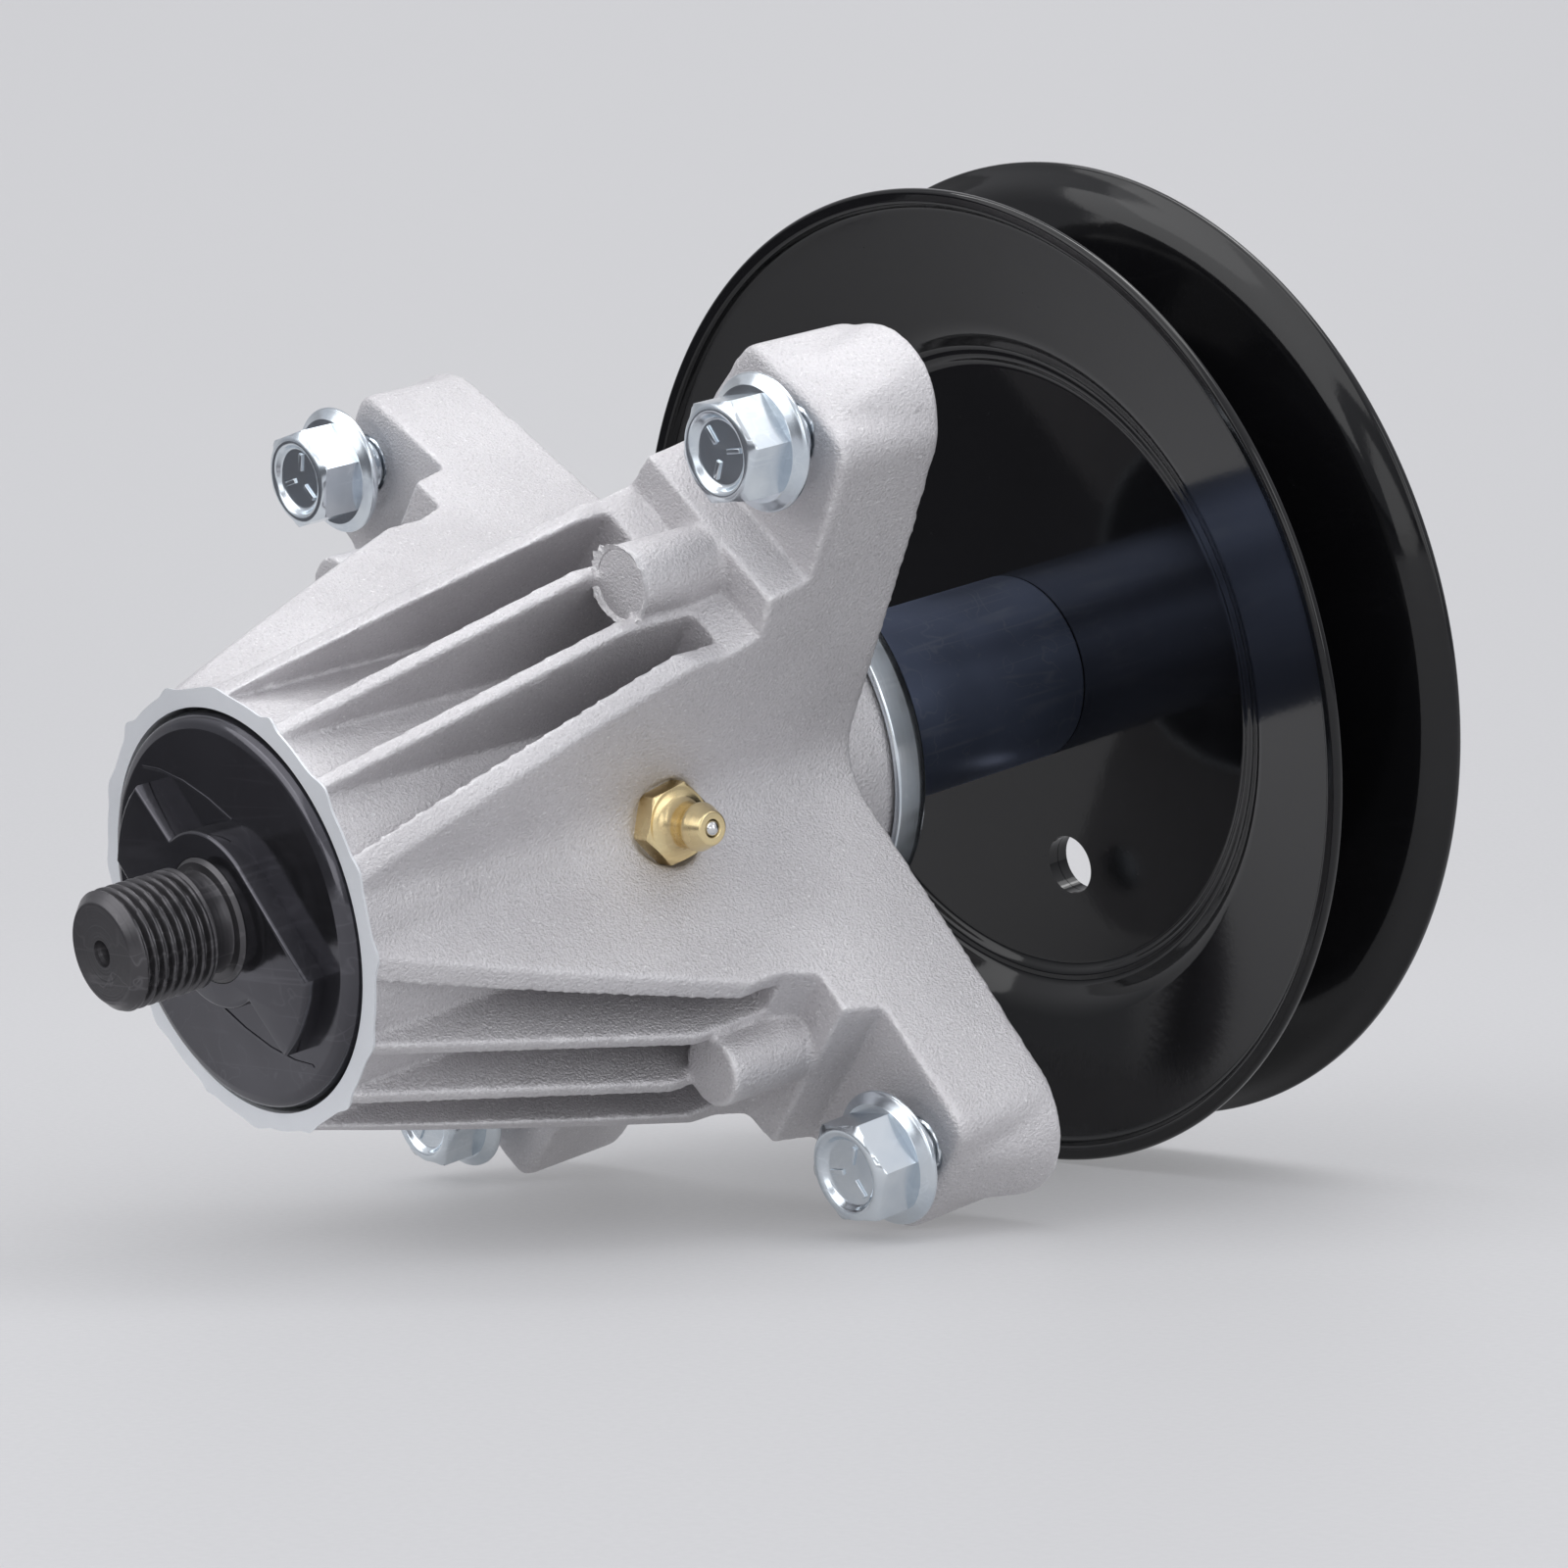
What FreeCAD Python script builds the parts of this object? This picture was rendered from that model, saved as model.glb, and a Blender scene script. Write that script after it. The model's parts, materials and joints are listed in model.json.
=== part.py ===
"""Mower deck spindle: a ribbed cast housing with two sealed ball bearings, a turned shaft with a blade
driver at the lower end and a stamped two-piece belt pulley at the upper end.

Millimetres. Every piece is drawn about the spindle axis, with height 0 at the threaded lower tip of the
shaft and heights growing towards the pulley. The finished spindle is then laid down as it comes to rest:
on the corners of two ears of the housing and on the front rim of the pulley. The origin is the middle of
the underside of the box round it, +Y runs along the spindle towards the pulley, +Z is up.
"""
import FreeCAD, Part
import Sketcher
import math
import os

Vector = FreeCAD.Vector
Placement = FreeCAD.Placement
Rotation = FreeCAD.Rotation

# Driving sizes, in millimetres and degrees
SIZES = {
    # threaded lower end of the shaft
    "thread_radius": 7.94,
    "tip_radius": 6.7,
    "tip_chamfer": 1.3,
    "thread_length": 12.1,
    "relief_length": 3.3,
    "relief_radius": 6.6,
    "driver_seat_radius": 8.3,
    "collar_stand": 0.6,
    "centre_hole_radius": 1.6,
    "centre_hole_depth": 4.5,
    "journal_radius": 10.0,
    # blade driver
    "plateau_height": 3.0,
    "plateau_hub_radius": 11.7,
    "lobe_reach": 20.7,
    "lobe_long_x": 19.5,
    "lobe_long_y": 7.2,
    "lobe_short_x": 11.2,
    "lobe_short_y": 17.3,
    "lobe_root_x": 5.6,
    "lobe_root_y": 10.4,
    "lobe_tangent_x": 9.3,
    "lobe_tangent_y": 7.0,
    "driver_radius": 26.2,
    "driver_thickness": 5.0,
    "driver_proud": 1.6,
    "driver_edge_round": 1.4,
    "driver_hub_radius": 13.5,
    # cast housing
    "casting_depth": 81.7,
    "ring_radius": 29.0,
    "barrel_ring_radius": 28.2,
    "barrel_deck_radius": 26.6,
    "counterbore_radius": 26.9,
    "counterbore_depth": 5.2,
    "bearing_sink": 1.2,
    "cavity_radius": 20.5,
    "hub_radius": 26.0,
    "hub_height": 11.0,
    "bearing_stand": 0.7,
    "arm_reach": 77.5,
    "arm_root_half": 20.72,
    "arm_end_near": 9.3,
    "arm_end_far": 12.6,
    "arm_end_draft": 5.5,
    "arm_nose_depth": 5.0,
    "arm_nose_shift": 1.0,
    "arm_nose_draft": 12.0,
    "arm_corner_round": 4.0,
    "ear_thickness": 17.3,
    "shoulder_height": 6.0,
    "shoulder_reach": 50.8,
    "shoulder_foot_reach": 52.3,
    "shoulder_start": 45.0,
    "crest_reach": 43.4,
    "crest_slope": 0.34,
    "waist_round": 9.2,
    "wall_thickness": 2.8,
    "trough_end_depth": 28.0,
    "rib_spacing": 9.6,
    "rib_thickness": 2.2,
    "pin_boss_radius": 5.0,
    "pin_boss_reach": 45.5,
    "pin_boss_depth": 36.5,
    # bolts in the ears
    "bolt_edge_margin": 11.0,
    "bolt_radius": 3.97,
    "bolt_hole_gap": 0.03,
    "bolt_length": 19.0,
    "bolt_stand": 4.2,
    "bolt_head_height": 8.0,
    "bolt_hex_flats": 12.7,
    "bolt_flange_radius": 9.0,
    "bolt_flange_edge": 0.9,
    "bolt_flange_rise": 2.2,
    "bolt_crown_ease": 0.2,
    "bolt_point": 0.7,
    "bolt_dish_radius": 5.1,
    "bolt_dish_depth": 0.8,
    "spot_face_radius": 6.5,
    "spot_face_depth": 0.4,
    # grease fitting
    "grease_depth": 32.7,
    "grease_tilt": 4.0,
    "grease_seat_radius": 27.2,
    "grease_spot_radius": 5.7,
    "grease_shank_radius": 3.1,
    "grease_shank_length": 5.5,
    "grease_hex_flats": 9.6,
    "grease_hex_height": 3.0,
    "grease_hex_turn": -21.0,
    "grease_shoulder_radius": 4.4,
    "grease_shoulder_rise": 0.25,
    "grease_neck_radius": 2.85,
    "grease_neck_rise": 1.1,
    "grease_neck_length": 2.1,
    "grease_head_radius": 3.2,
    "grease_head_rise": 1.0,
    "grease_head_band": 0.3,
    "grease_nose_radius": 2.2,
    "grease_height": 9.8,
    "grease_bore_radius": 1.35,
    "grease_ball_radius": 1.25,
    "grease_mouth_radius": 1.15,
    "grease_spring_wire": 0.2,
    "grease_spring_seat": 0.8,
    "grease_ball_travel": 0.8,
    # bearings
    "bearing_radius": 23.5,
    "bearing_width": 14.0,
    "inner_race_radius": 14.5,
    "outer_race_bore": 19.8,
    "ball_radius": 3.97,
    "ball_pitch_radius": 16.75,
    "ball_gap": 0.08,
    "ball_count": 8,
    "cage_inner_radius": 15.7,
    "cage_outer_radius": 17.8,
    "cage_width": 9.6,
    "cage_gap": 0.12,
    "seal_thickness": 1.0,
    "seal_recess": 0.5,
    "seal_gap": 0.15,
    # shield, spacers
    "bore_gap": 0.04,
    "inner_spacer_radius": 13.8,
    "spacer_radius": 13.7,
    "spacer_length": 44.6,
    "shield_thickness": 0.9,
    "shield_radius": 27.4,
    "shield_rise": 1.1,
    "shield_skirt": 5.9,
    "shield_seat_radius": 16.0,
    "shield_land_radius": 18.5,
    "shield_round": 1.6,
    # stamped pulley
    "sheet_thickness": 1.8,
    "pulley_radius": 72.0,
    "pulley_dish": 11.1,
    "web_radius": 45.5,
    "step_radius": 47.5,
    "step_height": 0.8,
    "knee_radius": 50.5,
    "knee_height": 3.7,
    "lip_width": 2.7,
    "lip_drop": 1.7,
    "web_hole_radius": 4.4,
    "web_hole_x": 4.0,
    "web_hole_y": 29.8,
    "pulley_seat_radius": 8.5,
    "pulley_flat_half": 7.3,
    "pulley_bore_gap": 0.1,
    "seat_relief": 0.4,
    # nut on the top of the shaft
    "nut_flats": 23.8,
    "nut_height": 13.5,
    "nut_flange_radius": 15.5,
    "nut_flange_edge": 1.6,
    "nut_crown_ease": 0.4,
    "shaft_above_nut": 4.0,
}

# Places that follow from the driving sizes
PLACES = {
    "relief_start": "thread_length",
    "relief_end": "thread_length + relief_length",
    "plateau_top": "thread_length + relief_length + collar_stand",
    "collar_edge_radius": "driver_seat_radius - collar_stand",
    "driver_face": "plateau_top + plateau_height",
    "driver_back": "driver_face + driver_thickness",
    "ring_face": "driver_face + driver_proud",
    "counterbore_floor": "ring_face + counterbore_depth",
    "lower_front": "counterbore_floor + bearing_sink",
    "lower_back": "lower_front + bearing_width",
    "deck_face": "ring_face + casting_depth",
    "hub_end": "deck_face + hub_height",
    "upper_back": "hub_end + bearing_stand",
    "upper_front": "upper_back - bearing_width",
    "pad_face": "deck_face - ear_thickness",
    "land_face": "pad_face - shoulder_height",
    "crest_start": "ring_face + (crest_reach - ring_radius) / crest_slope",
    "land_radius": "ring_radius + crest_slope * (land_face - ring_face)",
    "arm_width": "2 * arm_root_half",
    "trough_end": "deck_face - trough_end_depth",
    "pin_boss_face": "deck_face - pin_boss_depth",
    "shield_seat": "upper_back + shield_thickness",
    "shield_land_under": "upper_back + shield_rise",
    "shield_top": "shield_seat + shield_rise",
    "shield_skirt_end": "shield_top - shield_skirt",
    "shield_inner_radius": "shield_radius - shield_thickness",
    "web_front": "shield_seat + spacer_length",
    "web_middle": "web_front + sheet_thickness",
    "web_back": "web_middle + sheet_thickness",
    "rim_front": "web_front - pulley_dish",
    "seat_start": "web_front - seat_relief",
    "seat_end": "web_back - seat_relief",
    "nut_top": "web_back + nut_height",
    "shaft_top": "nut_top + shaft_above_nut",
    "top_chamfer_start": "shaft_top - tip_chamfer",
    "driver_bore_radius": "driver_seat_radius + bore_gap",
    "sleeve_bore_radius": "journal_radius + bore_gap",
    "nut_bore_radius": "thread_radius + bore_gap",
    "bolt_hole_radius": "bolt_radius + bolt_hole_gap",
    "trough_root_half": "arm_root_half - wall_thickness",
    "bolt_circle_radius": "arm_reach - bolt_edge_margin",
    "block_reach": "arm_reach - arm_nose_depth",
    "trough_near": "arm_end_near - wall_thickness",
    "trough_far": "arm_end_far - wall_thickness",
    "pad_reach": "arm_reach - arm_end_draft",
    "clear_radius": "2 * pulley_radius",
    "lip_radius": "pulley_radius - lip_width",
    "web_bore_radius": "pulley_seat_radius + pulley_bore_gap",
    "step_start": "web_radius + step_height",
    "lip_end": "lip_radius + lip_drop / 2",
    "inner_web_radius": "web_radius - sheet_thickness / 4",
    "inner_step_start": "web_radius + step_height / 2",
    "inner_step_radius": "step_radius + sheet_thickness / 4",
    "inner_knee_radius": "knee_radius + sheet_thickness / 4",
    "grease_shoulder_height": "grease_hex_height + grease_shoulder_rise",
    "grease_neck_height": "grease_hex_height + grease_neck_rise",
    "grease_throat_height": "grease_hex_height + grease_neck_rise + grease_neck_length",
    "grease_head_height": "grease_throat_height + grease_head_rise",
    "grease_crown_height": "grease_head_height + grease_head_band",
    "nut_flare_height": "web_back + nut_flange_edge",
    "nut_cone_top": "web_back + nut_flange_edge + nut_flange_radius / 2 - nut_flats / 4",
    "nut_flat_radius": "nut_flats / 2",
    "nut_crown_start": "nut_flats / 2 - nut_crown_ease",
    "nut_clear_radius": "nut_flats * 3 / 4",
    "nut_crown_foot": "nut_top - (nut_flats / 4 + nut_crown_ease) * tan(30)",
    "bolt_flat_radius": "bolt_hex_flats / 2",
    "bolt_crown_start": "bolt_hex_flats / 2 - bolt_crown_ease",
    "bolt_clear_radius": "bolt_hex_flats * 3 / 4",
    "bolt_crown_foot": "bolt_head_height - (bolt_hex_flats / 4 + bolt_crown_ease) * tan(30)",
    "bolt_dish_floor": "bolt_head_height - bolt_dish_depth",
    "bolt_above_head": "bolt_head_height + bolt_dish_depth",
    "bolt_dish_floor_radius": "bolt_dish_radius - bolt_dish_depth",
    "bolt_tip_radius": "bolt_radius - bolt_point",
    "bolt_point_height": "bolt_point - bolt_length",
    "rib_start": "rib_spacing / 2 - rib_thickness / 2",
    "bearing_middle": "bearing_width / 2",
    "groove_radius": "ball_radius + ball_gap",
    "cage_pocket_radius": "ball_radius + cage_gap",
    "cage_start": "bearing_width / 2 - cage_width / 2",
    "cage_end": "bearing_width / 2 + cage_width / 2",
    "seal_inner_radius": "inner_race_radius + seal_gap",
}

# The heights of each pulley half's outside and inside skins, and of the fitting's shoulders
RISES = {"web": "0", "step": "step_height", "knee": "knee_height", "lip": "pulley_dish - lip_drop",
         "rim": "pulley_dish"}
for place, rise in RISES.items():
    PLACES["front_%s_outside" % place] = "web_front - (%s)" % rise
    PLACES["front_%s_inside" % place] = "web_front - (%s) + sheet_thickness" % rise
    PLACES["back_%s_outside" % place] = "web_back + (%s)" % rise
    PLACES["back_%s_inside" % place] = "web_back + (%s) - sheet_thickness" % rise

doc = FreeCAD.newDocument("mower_deck_spindle")
sheet = doc.addObject("Spreadsheet::Sheet", "Sizes")
for row, (name, value) in enumerate(SIZES.items(), start=1):
    sheet.set("A%d" % row, str(value))
    sheet.setAlias("A%d" % row, name)
for row, (name, formula) in enumerate(PLACES.items(), start=1):
    sheet.set("B%d" % row, "=" + formula)
    sheet.setAlias("B%d" % row, name)
doc.recompute()


def size(name):
    """The number behind a named size; a leading minus turns it round, and plain numbers pass."""
    if not isinstance(name, str):
        return float(name)
    if name.startswith("-"):
        return -float(sheet.get(name[1:]))
    return float(sheet.get(name))


def bound(name):
    """The expression that ties a property to a named size."""
    if name.startswith("-"):
        return "-Sizes." + name[1:]
    return "Sizes." + name


def bind(thing, prop, name):
    """Tie a property of a feature to a named size."""
    thing.setExpression(prop, bound(name))


def origin_part(body, role):
    """The body's own plane or axis of that role."""
    return [part for part in body.Origin.OriginFeatures if part.Role == role][0]


def new_body(label):
    body = doc.addObject("PartDesign::Body", label)
    body.Label = label
    return body


def new_sketch(body, label, role, lift=None, turn=0.0):
    """A sketch on one of the body's planes, lifted along the plane's normal and turned in it."""
    sketch = body.newObject("Sketcher::SketchObject", label)
    sketch.AttachmentSupport = [(origin_part(body, role), "")]
    sketch.MapMode = "FlatFace"
    offset = size(lift) if lift is not None else 0.0
    sketch.AttachmentOffset = Placement(Vector(0, 0, offset), Rotation(Vector(0, 0, 1), turn))
    if isinstance(lift, str):
        bind(sketch, "AttachmentOffset.Base.z", lift)
    return sketch


def upright_sketch(body, label, turn, lift=0.0):
    """A sketch (reach, height) on a plane through the axis, turned about it and lifted off it."""
    sketch = new_sketch(body, label, "XZ_Plane")
    spin = Rotation(Vector(0, 1, 0), turn)
    sketch.AttachmentOffset = Placement(spin.multVec(Vector(0, 0, size(lift))), spin)
    return sketch


def pin_point(sketch, edge, end, x, y):
    """Hold one point of the sketch at named coordinates."""
    for kind, value in (("DistanceX", x), ("DistanceY", y)):
        index = sketch.addConstraint(Sketcher.Constraint(kind, edge, end, size(value)))
        if isinstance(value, str):
            sketch.setExpression("Constraints[%d]" % index, bound(value))


def draw_outline(sketch, points):
    """A closed outline of straight edges through named corners."""
    corners = [Vector(size(x), size(y), 0) for x, y in points]
    first = sketch.GeometryCount
    count = len(corners)
    for i in range(count):
        sketch.addGeometry(Part.LineSegment(corners[i], corners[(i + 1) % count]), False)
    for i in range(count):
        following = first + (i + 1) % count
        sketch.addConstraint(Sketcher.Constraint("Coincident", first + i, 2, following, 1))
    for i, (x, y) in enumerate(points):
        pin_point(sketch, first + i, 1, x, y)


def draw_circle(sketch, x, y, radius):
    """A circle of named radius at a named place."""
    centre = Vector(size(x), size(y), 0)
    index = sketch.addGeometry(Part.Circle(centre, Vector(0, 0, 1), size(radius)), False)
    pin_point(sketch, index, 3, x, y)
    held = sketch.addConstraint(Sketcher.Constraint("Radius", index, size(radius)))
    sketch.setExpression("Constraints[%d]" % held, bound(radius))


def draw_hexagon(sketch, flats, turn=0.0):
    """A hexagon of named width across flats, its corners on a construction circle."""
    radius = size(flats) / 2 / math.cos(math.pi / 6)
    corners = []
    for i in range(6):
        angle = math.radians(60 * i + turn)
        corners.append(Vector(radius * math.cos(angle), radius * math.sin(angle), 0))
    for i in range(6):
        sketch.addGeometry(Part.LineSegment(corners[i], corners[(i + 1) % 6]), False)
    for i in range(6):
        sketch.addConstraint(Sketcher.Constraint("Coincident", i, 2, (i + 1) % 6, 1))
    ring = sketch.addGeometry(Part.Circle(Vector(0, 0, 0), Vector(0, 0, 1), radius), True)
    sketch.addConstraint(Sketcher.Constraint("Coincident", ring, 3, -1, 1))
    for i in range(6):
        sketch.addConstraint(Sketcher.Constraint("PointOnObject", i, 1, ring))
    for i in range(5):
        sketch.addConstraint(Sketcher.Constraint("Equal", i, i + 1))
    sketch.addConstraint(Sketcher.Constraint("Angle", 0, math.radians(turn + 120)))
    held = sketch.addConstraint(Sketcher.Constraint("Radius", ring, radius))
    sketch.setExpression("Constraints[%d]" % held, bound(flats) + " / 2 / cos(30)")


def revolve(body, label, points):
    """A turned solid: the outline (radius, height) swept once round the axis."""
    sketch = new_sketch(body, label + "_outline", "XZ_Plane")
    draw_outline(sketch, points)
    feature = body.newObject("PartDesign::Revolution", label)
    feature.Profile = sketch
    feature.ReferenceAxis = (sketch, ["V_Axis"])
    feature.Angle = 360.0
    doc.recompute()
    return feature


def turn_out(body, label, points):
    """A turned cut: the outline (radius, height) removed once round the axis."""
    sketch = new_sketch(body, label + "_outline", "XZ_Plane")
    draw_outline(sketch, points)
    return groove(body, label, sketch)


def groove(body, label, sketch):
    feature = body.newObject("PartDesign::Groove", label)
    feature.Profile = sketch
    feature.ReferenceAxis = (sketch, ["V_Axis"])
    feature.Angle = 360.0
    doc.recompute()
    return feature


def pad(body, label, sketch, length, down=False):
    """Raise a sketch by a named length, along its normal or against it."""
    feature = body.newObject("PartDesign::Pad", label)
    feature.Profile = sketch
    feature.Length = size(length)
    bind(feature, "Length", length)
    feature.Reversed = down
    doc.recompute()
    return feature


def pocket(body, label, sketch, length, up=False):
    """Cut a sketch by a named length, against its normal or along it, and see that it cuts."""
    before = body.Shape.Volume
    feature = body.newObject("PartDesign::Pocket", label)
    feature.Profile = sketch
    feature.Length = size(length)
    bind(feature, "Length", length)
    feature.Reversed = up
    doc.recompute()
    if body.Shape.Volume > before - 1e-6:
        raise ValueError(label + " cuts nothing")
    return feature


def pattern(body, label, feature, count):
    """Repeat a feature evenly round the axis."""
    copies = body.newObject("PartDesign::PolarPattern", label)
    copies.Originals = [feature]
    copies.Axis = (origin_part(body, "Z_Axis"), [""])
    copies.Angle = 360.0
    if isinstance(count, str):
        copies.Occurrences = int(size(count))
        bind(copies, "Occurrences", count)
    else:
        copies.Occurrences = count
    body.Tip = copies
    doc.recompute()
    return copies


def circle_edges(shape, wanted):
    """Names of the round edges about the axis that lie at the wanted (radius, height) pairs."""
    names = []
    for number, edge in enumerate(shape.Edges, start=1):
        if not isinstance(edge.Curve, Part.Circle):
            continue
        for radius, height in wanted:
            same_radius = abs(edge.Curve.Radius - size(radius)) < 1e-3
            same_height = abs(edge.Curve.Center.z - size(height)) < 1e-3
            if same_radius and same_height:
                names.append("Edge%d" % number)
    return names


def round_edges(body, label, names, radius):
    """Round the named edges of the body's last feature."""
    base = body.Tip
    feature = body.newObject("PartDesign::Fillet", label)
    feature.Base = (base, names)
    feature.Radius = size(radius)
    bind(feature, "Radius", radius)
    body.Tip = feature
    doc.recompute()
    return feature


def build_housing():
    """One casting: four tapered arms about a barrel, each with a ribbed trough, a stepped ear and a
    round boss left by the core pin; the bearing seats are bored into it."""
    body = new_body("spindle_housing")

    # Four arms, tapering outwards, as deep as the casting. One side of an arm leans in more than the
    # other, so each arm names the half widths of its two sides at the end
    arms = (("right_low", 45.0, "far", "near"), ("left_low", 135.0, "near", "far"),
            ("left_high", 225.0, "near", "far"), ("right_high", 315.0, "near", "far"))
    for label, turn, first, second in arms:
        sketch = new_sketch(body, label + "_arm_outline", "XY_Plane", "deck_face", turn)
        draw_outline(sketch, [(0, "arm_root_half"), (0, "-arm_root_half"),
                              ("block_reach", "-arm_end_" + second), ("block_reach", "arm_end_" + first)])
        pad(body, label + "_arm", sketch, "casting_depth", down=True)
    for label, wanted in (("waist", 0), ("arm_corner", 1)):
        names = []
        for number, edge in enumerate(body.Shape.Edges, start=1):
            middle = edge.CenterOfMass
            outer = int(math.hypot(middle.x, middle.y) > size("bolt_circle_radius"))
            if abs(edge.Length - size("casting_depth")) < 1e-3 and outer == wanted:
                names.append("Edge%d" % number)
        round_edges(body, label + "s", names, label + "_round")

    # A round nose about each bolt, as thick as the ear and drawn in towards the pad
    for label, turn, first, second in arms:
        sketch = new_sketch(body, label + "_nose_outline", "XY_Plane", "deck_face", turn)
        shift = "arm_nose_shift" if first == "far" else "-arm_nose_shift"
        draw_circle(sketch, "bolt_circle_radius", shift, "bolt_edge_margin")
        nose = pad(body, label + "_nose", sketch, "ear_thickness", down=True)
        nose.TaperAngle = -size("arm_nose_draft")
        bind(nose, "TaperAngle", "-arm_nose_draft")
        doc.recompute()

    # The arms fall away in a cone from the ears to the machined end ring, and each ear stands back
    # behind a drafted shoulder
    turn_out(body, "cone_off", [("ring_radius", "driver_face"), ("ring_radius", "ring_face"),
                                ("land_radius", "land_face"), ("clear_radius", "land_face"),
                                ("clear_radius", "driver_face")])
    sketch = upright_sketch(body, "ear_step_outline", 45.0)
    draw_outline(sketch, [("crest_reach", "driver_face"), ("crest_reach", "trough_end"),
                          ("shoulder_start", "land_face"), ("shoulder_reach", "land_face"),
                          ("shoulder_foot_reach", "pad_face"), ("pad_reach", "pad_face"),
                          ("arm_reach", "deck_face"), ("clear_radius", "deck_face"),
                          ("clear_radius", "driver_face")])
    step = body.newObject("PartDesign::Pocket", "ear_step")
    step.Profile = sketch
    step.Midplane = True
    step.Length = size("arm_width")
    bind(step, "Length", "arm_width")
    doc.recompute()
    pattern(body, "ear_steps", step, 4)

    # A trough in each arm, open towards the ring
    for label, turn, first, second in arms:
        sketch = new_sketch(body, label + "_trough_outline", "XY_Plane", "trough_end", turn)
        draw_outline(sketch, [(0, "trough_root_half"), (0, "-trough_root_half"),
                              ("block_reach", "-trough_" + second), ("block_reach", "trough_" + first)])
        pocket(body, label + "_trough", sketch, "casting_depth")

    # The barrel and the hub that stands through the deck
    revolve(body, "barrel", [(0, "ring_face"), ("barrel_ring_radius", "ring_face"),
                             ("barrel_deck_radius", "deck_face"), ("hub_radius", "deck_face"),
                             ("hub_radius", "hub_end"), (0, "hub_end")])

    # Two ribs along the floor of each trough, from the ring up to the core-pin boss
    for side, turn in (("near", 45.0), ("far", 225.0)):
        sketch = upright_sketch(body, side + "_rib_outline", turn, "rib_start")
        reach = "" if side == "near" else "-"
        draw_outline(sketch, [(0, "ring_face"), (reach + "ring_radius", "ring_face"),
                              (reach + "crest_reach", "crest_start"),
                              (reach + "crest_reach", "trough_end"), (0, "trough_end")])
        pattern(body, side + "_ribs", pad(body, side + "_rib", sketch, "rib_thickness"), 4)

    # The round boss of the core pin at the root of each ear
    sketch = new_sketch(body, "pin_boss_outline", "XY_Plane", "pin_boss_face", 45.0)
    draw_circle(sketch, "pin_boss_reach", 0, "pin_boss_radius")
    boss = pad(body, "pin_boss", sketch, "ear_thickness")
    pattern(body, "pin_bosses", boss, 4)

    # Bolt holes with a light spot face on each pad
    sketch = new_sketch(body, "bolt_hole_outline", "XY_Plane", "deck_face", 45.0)
    draw_circle(sketch, "bolt_circle_radius", 0, "bolt_hole_radius")
    pattern(body, "bolt_holes", pocket(body, "bolt_hole", sketch, "ear_thickness"), 4)
    sketch = new_sketch(body, "spot_face_outline", "XY_Plane", "pad_face", 45.0)
    draw_circle(sketch, "bolt_circle_radius", 0, "spot_face_radius")
    pattern(body, "spot_faces", pocket(body, "spot_face", sketch, "spot_face_depth", up=True), 4)

    # Bores: the driver's recess, the lower bearing, the grease cavity and the upper bearing
    turn_out(body, "bores", [(0, "driver_face"), ("counterbore_radius", "driver_face"),
                             ("counterbore_radius", "counterbore_floor"),
                             ("bearing_radius", "counterbore_floor"), ("bearing_radius", "lower_back"),
                             ("cavity_radius", "lower_back"), ("cavity_radius", "upper_front"),
                             ("bearing_radius", "upper_front"), ("bearing_radius", "shield_top"),
                             (0, "shield_top")])

    # The tapped hole and flat seat of the grease fitting, square to the fitting
    for label, radius, start in (("grease_spot", "grease_spot_radius", size("grease_seat_radius")),
                                 ("grease_hole", "grease_shank_radius", size("cavity_radius") / 2)):
        sketch = body.newObject("Sketcher::SketchObject", label + "_outline")
        sketch.AttachmentSupport = [(origin_part(body, "XY_Plane"), "")]
        sketch.MapMode = "FlatFace"
        place = fitting_place()
        place.Base = place.Base - place.Rotation.multVec(Vector(0, 0, size("grease_seat_radius") - start))
        sketch.AttachmentOffset = place
        draw_circle(sketch, 0, 0, radius)
        pocket(body, label, sketch, "arm_reach", up=True)
    return body


def fitting_place():
    """Where the grease fitting seats, its own axis pointing out of the housing."""
    tilt = size("grease_tilt")
    height = size("deck_face") - size("grease_depth")
    return Placement(Vector(size("grease_seat_radius"), 0, height),
                     Rotation(Vector(0, 0, 1), tilt).multiply(Rotation(Vector(0, 1, 0), 90)))


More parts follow.
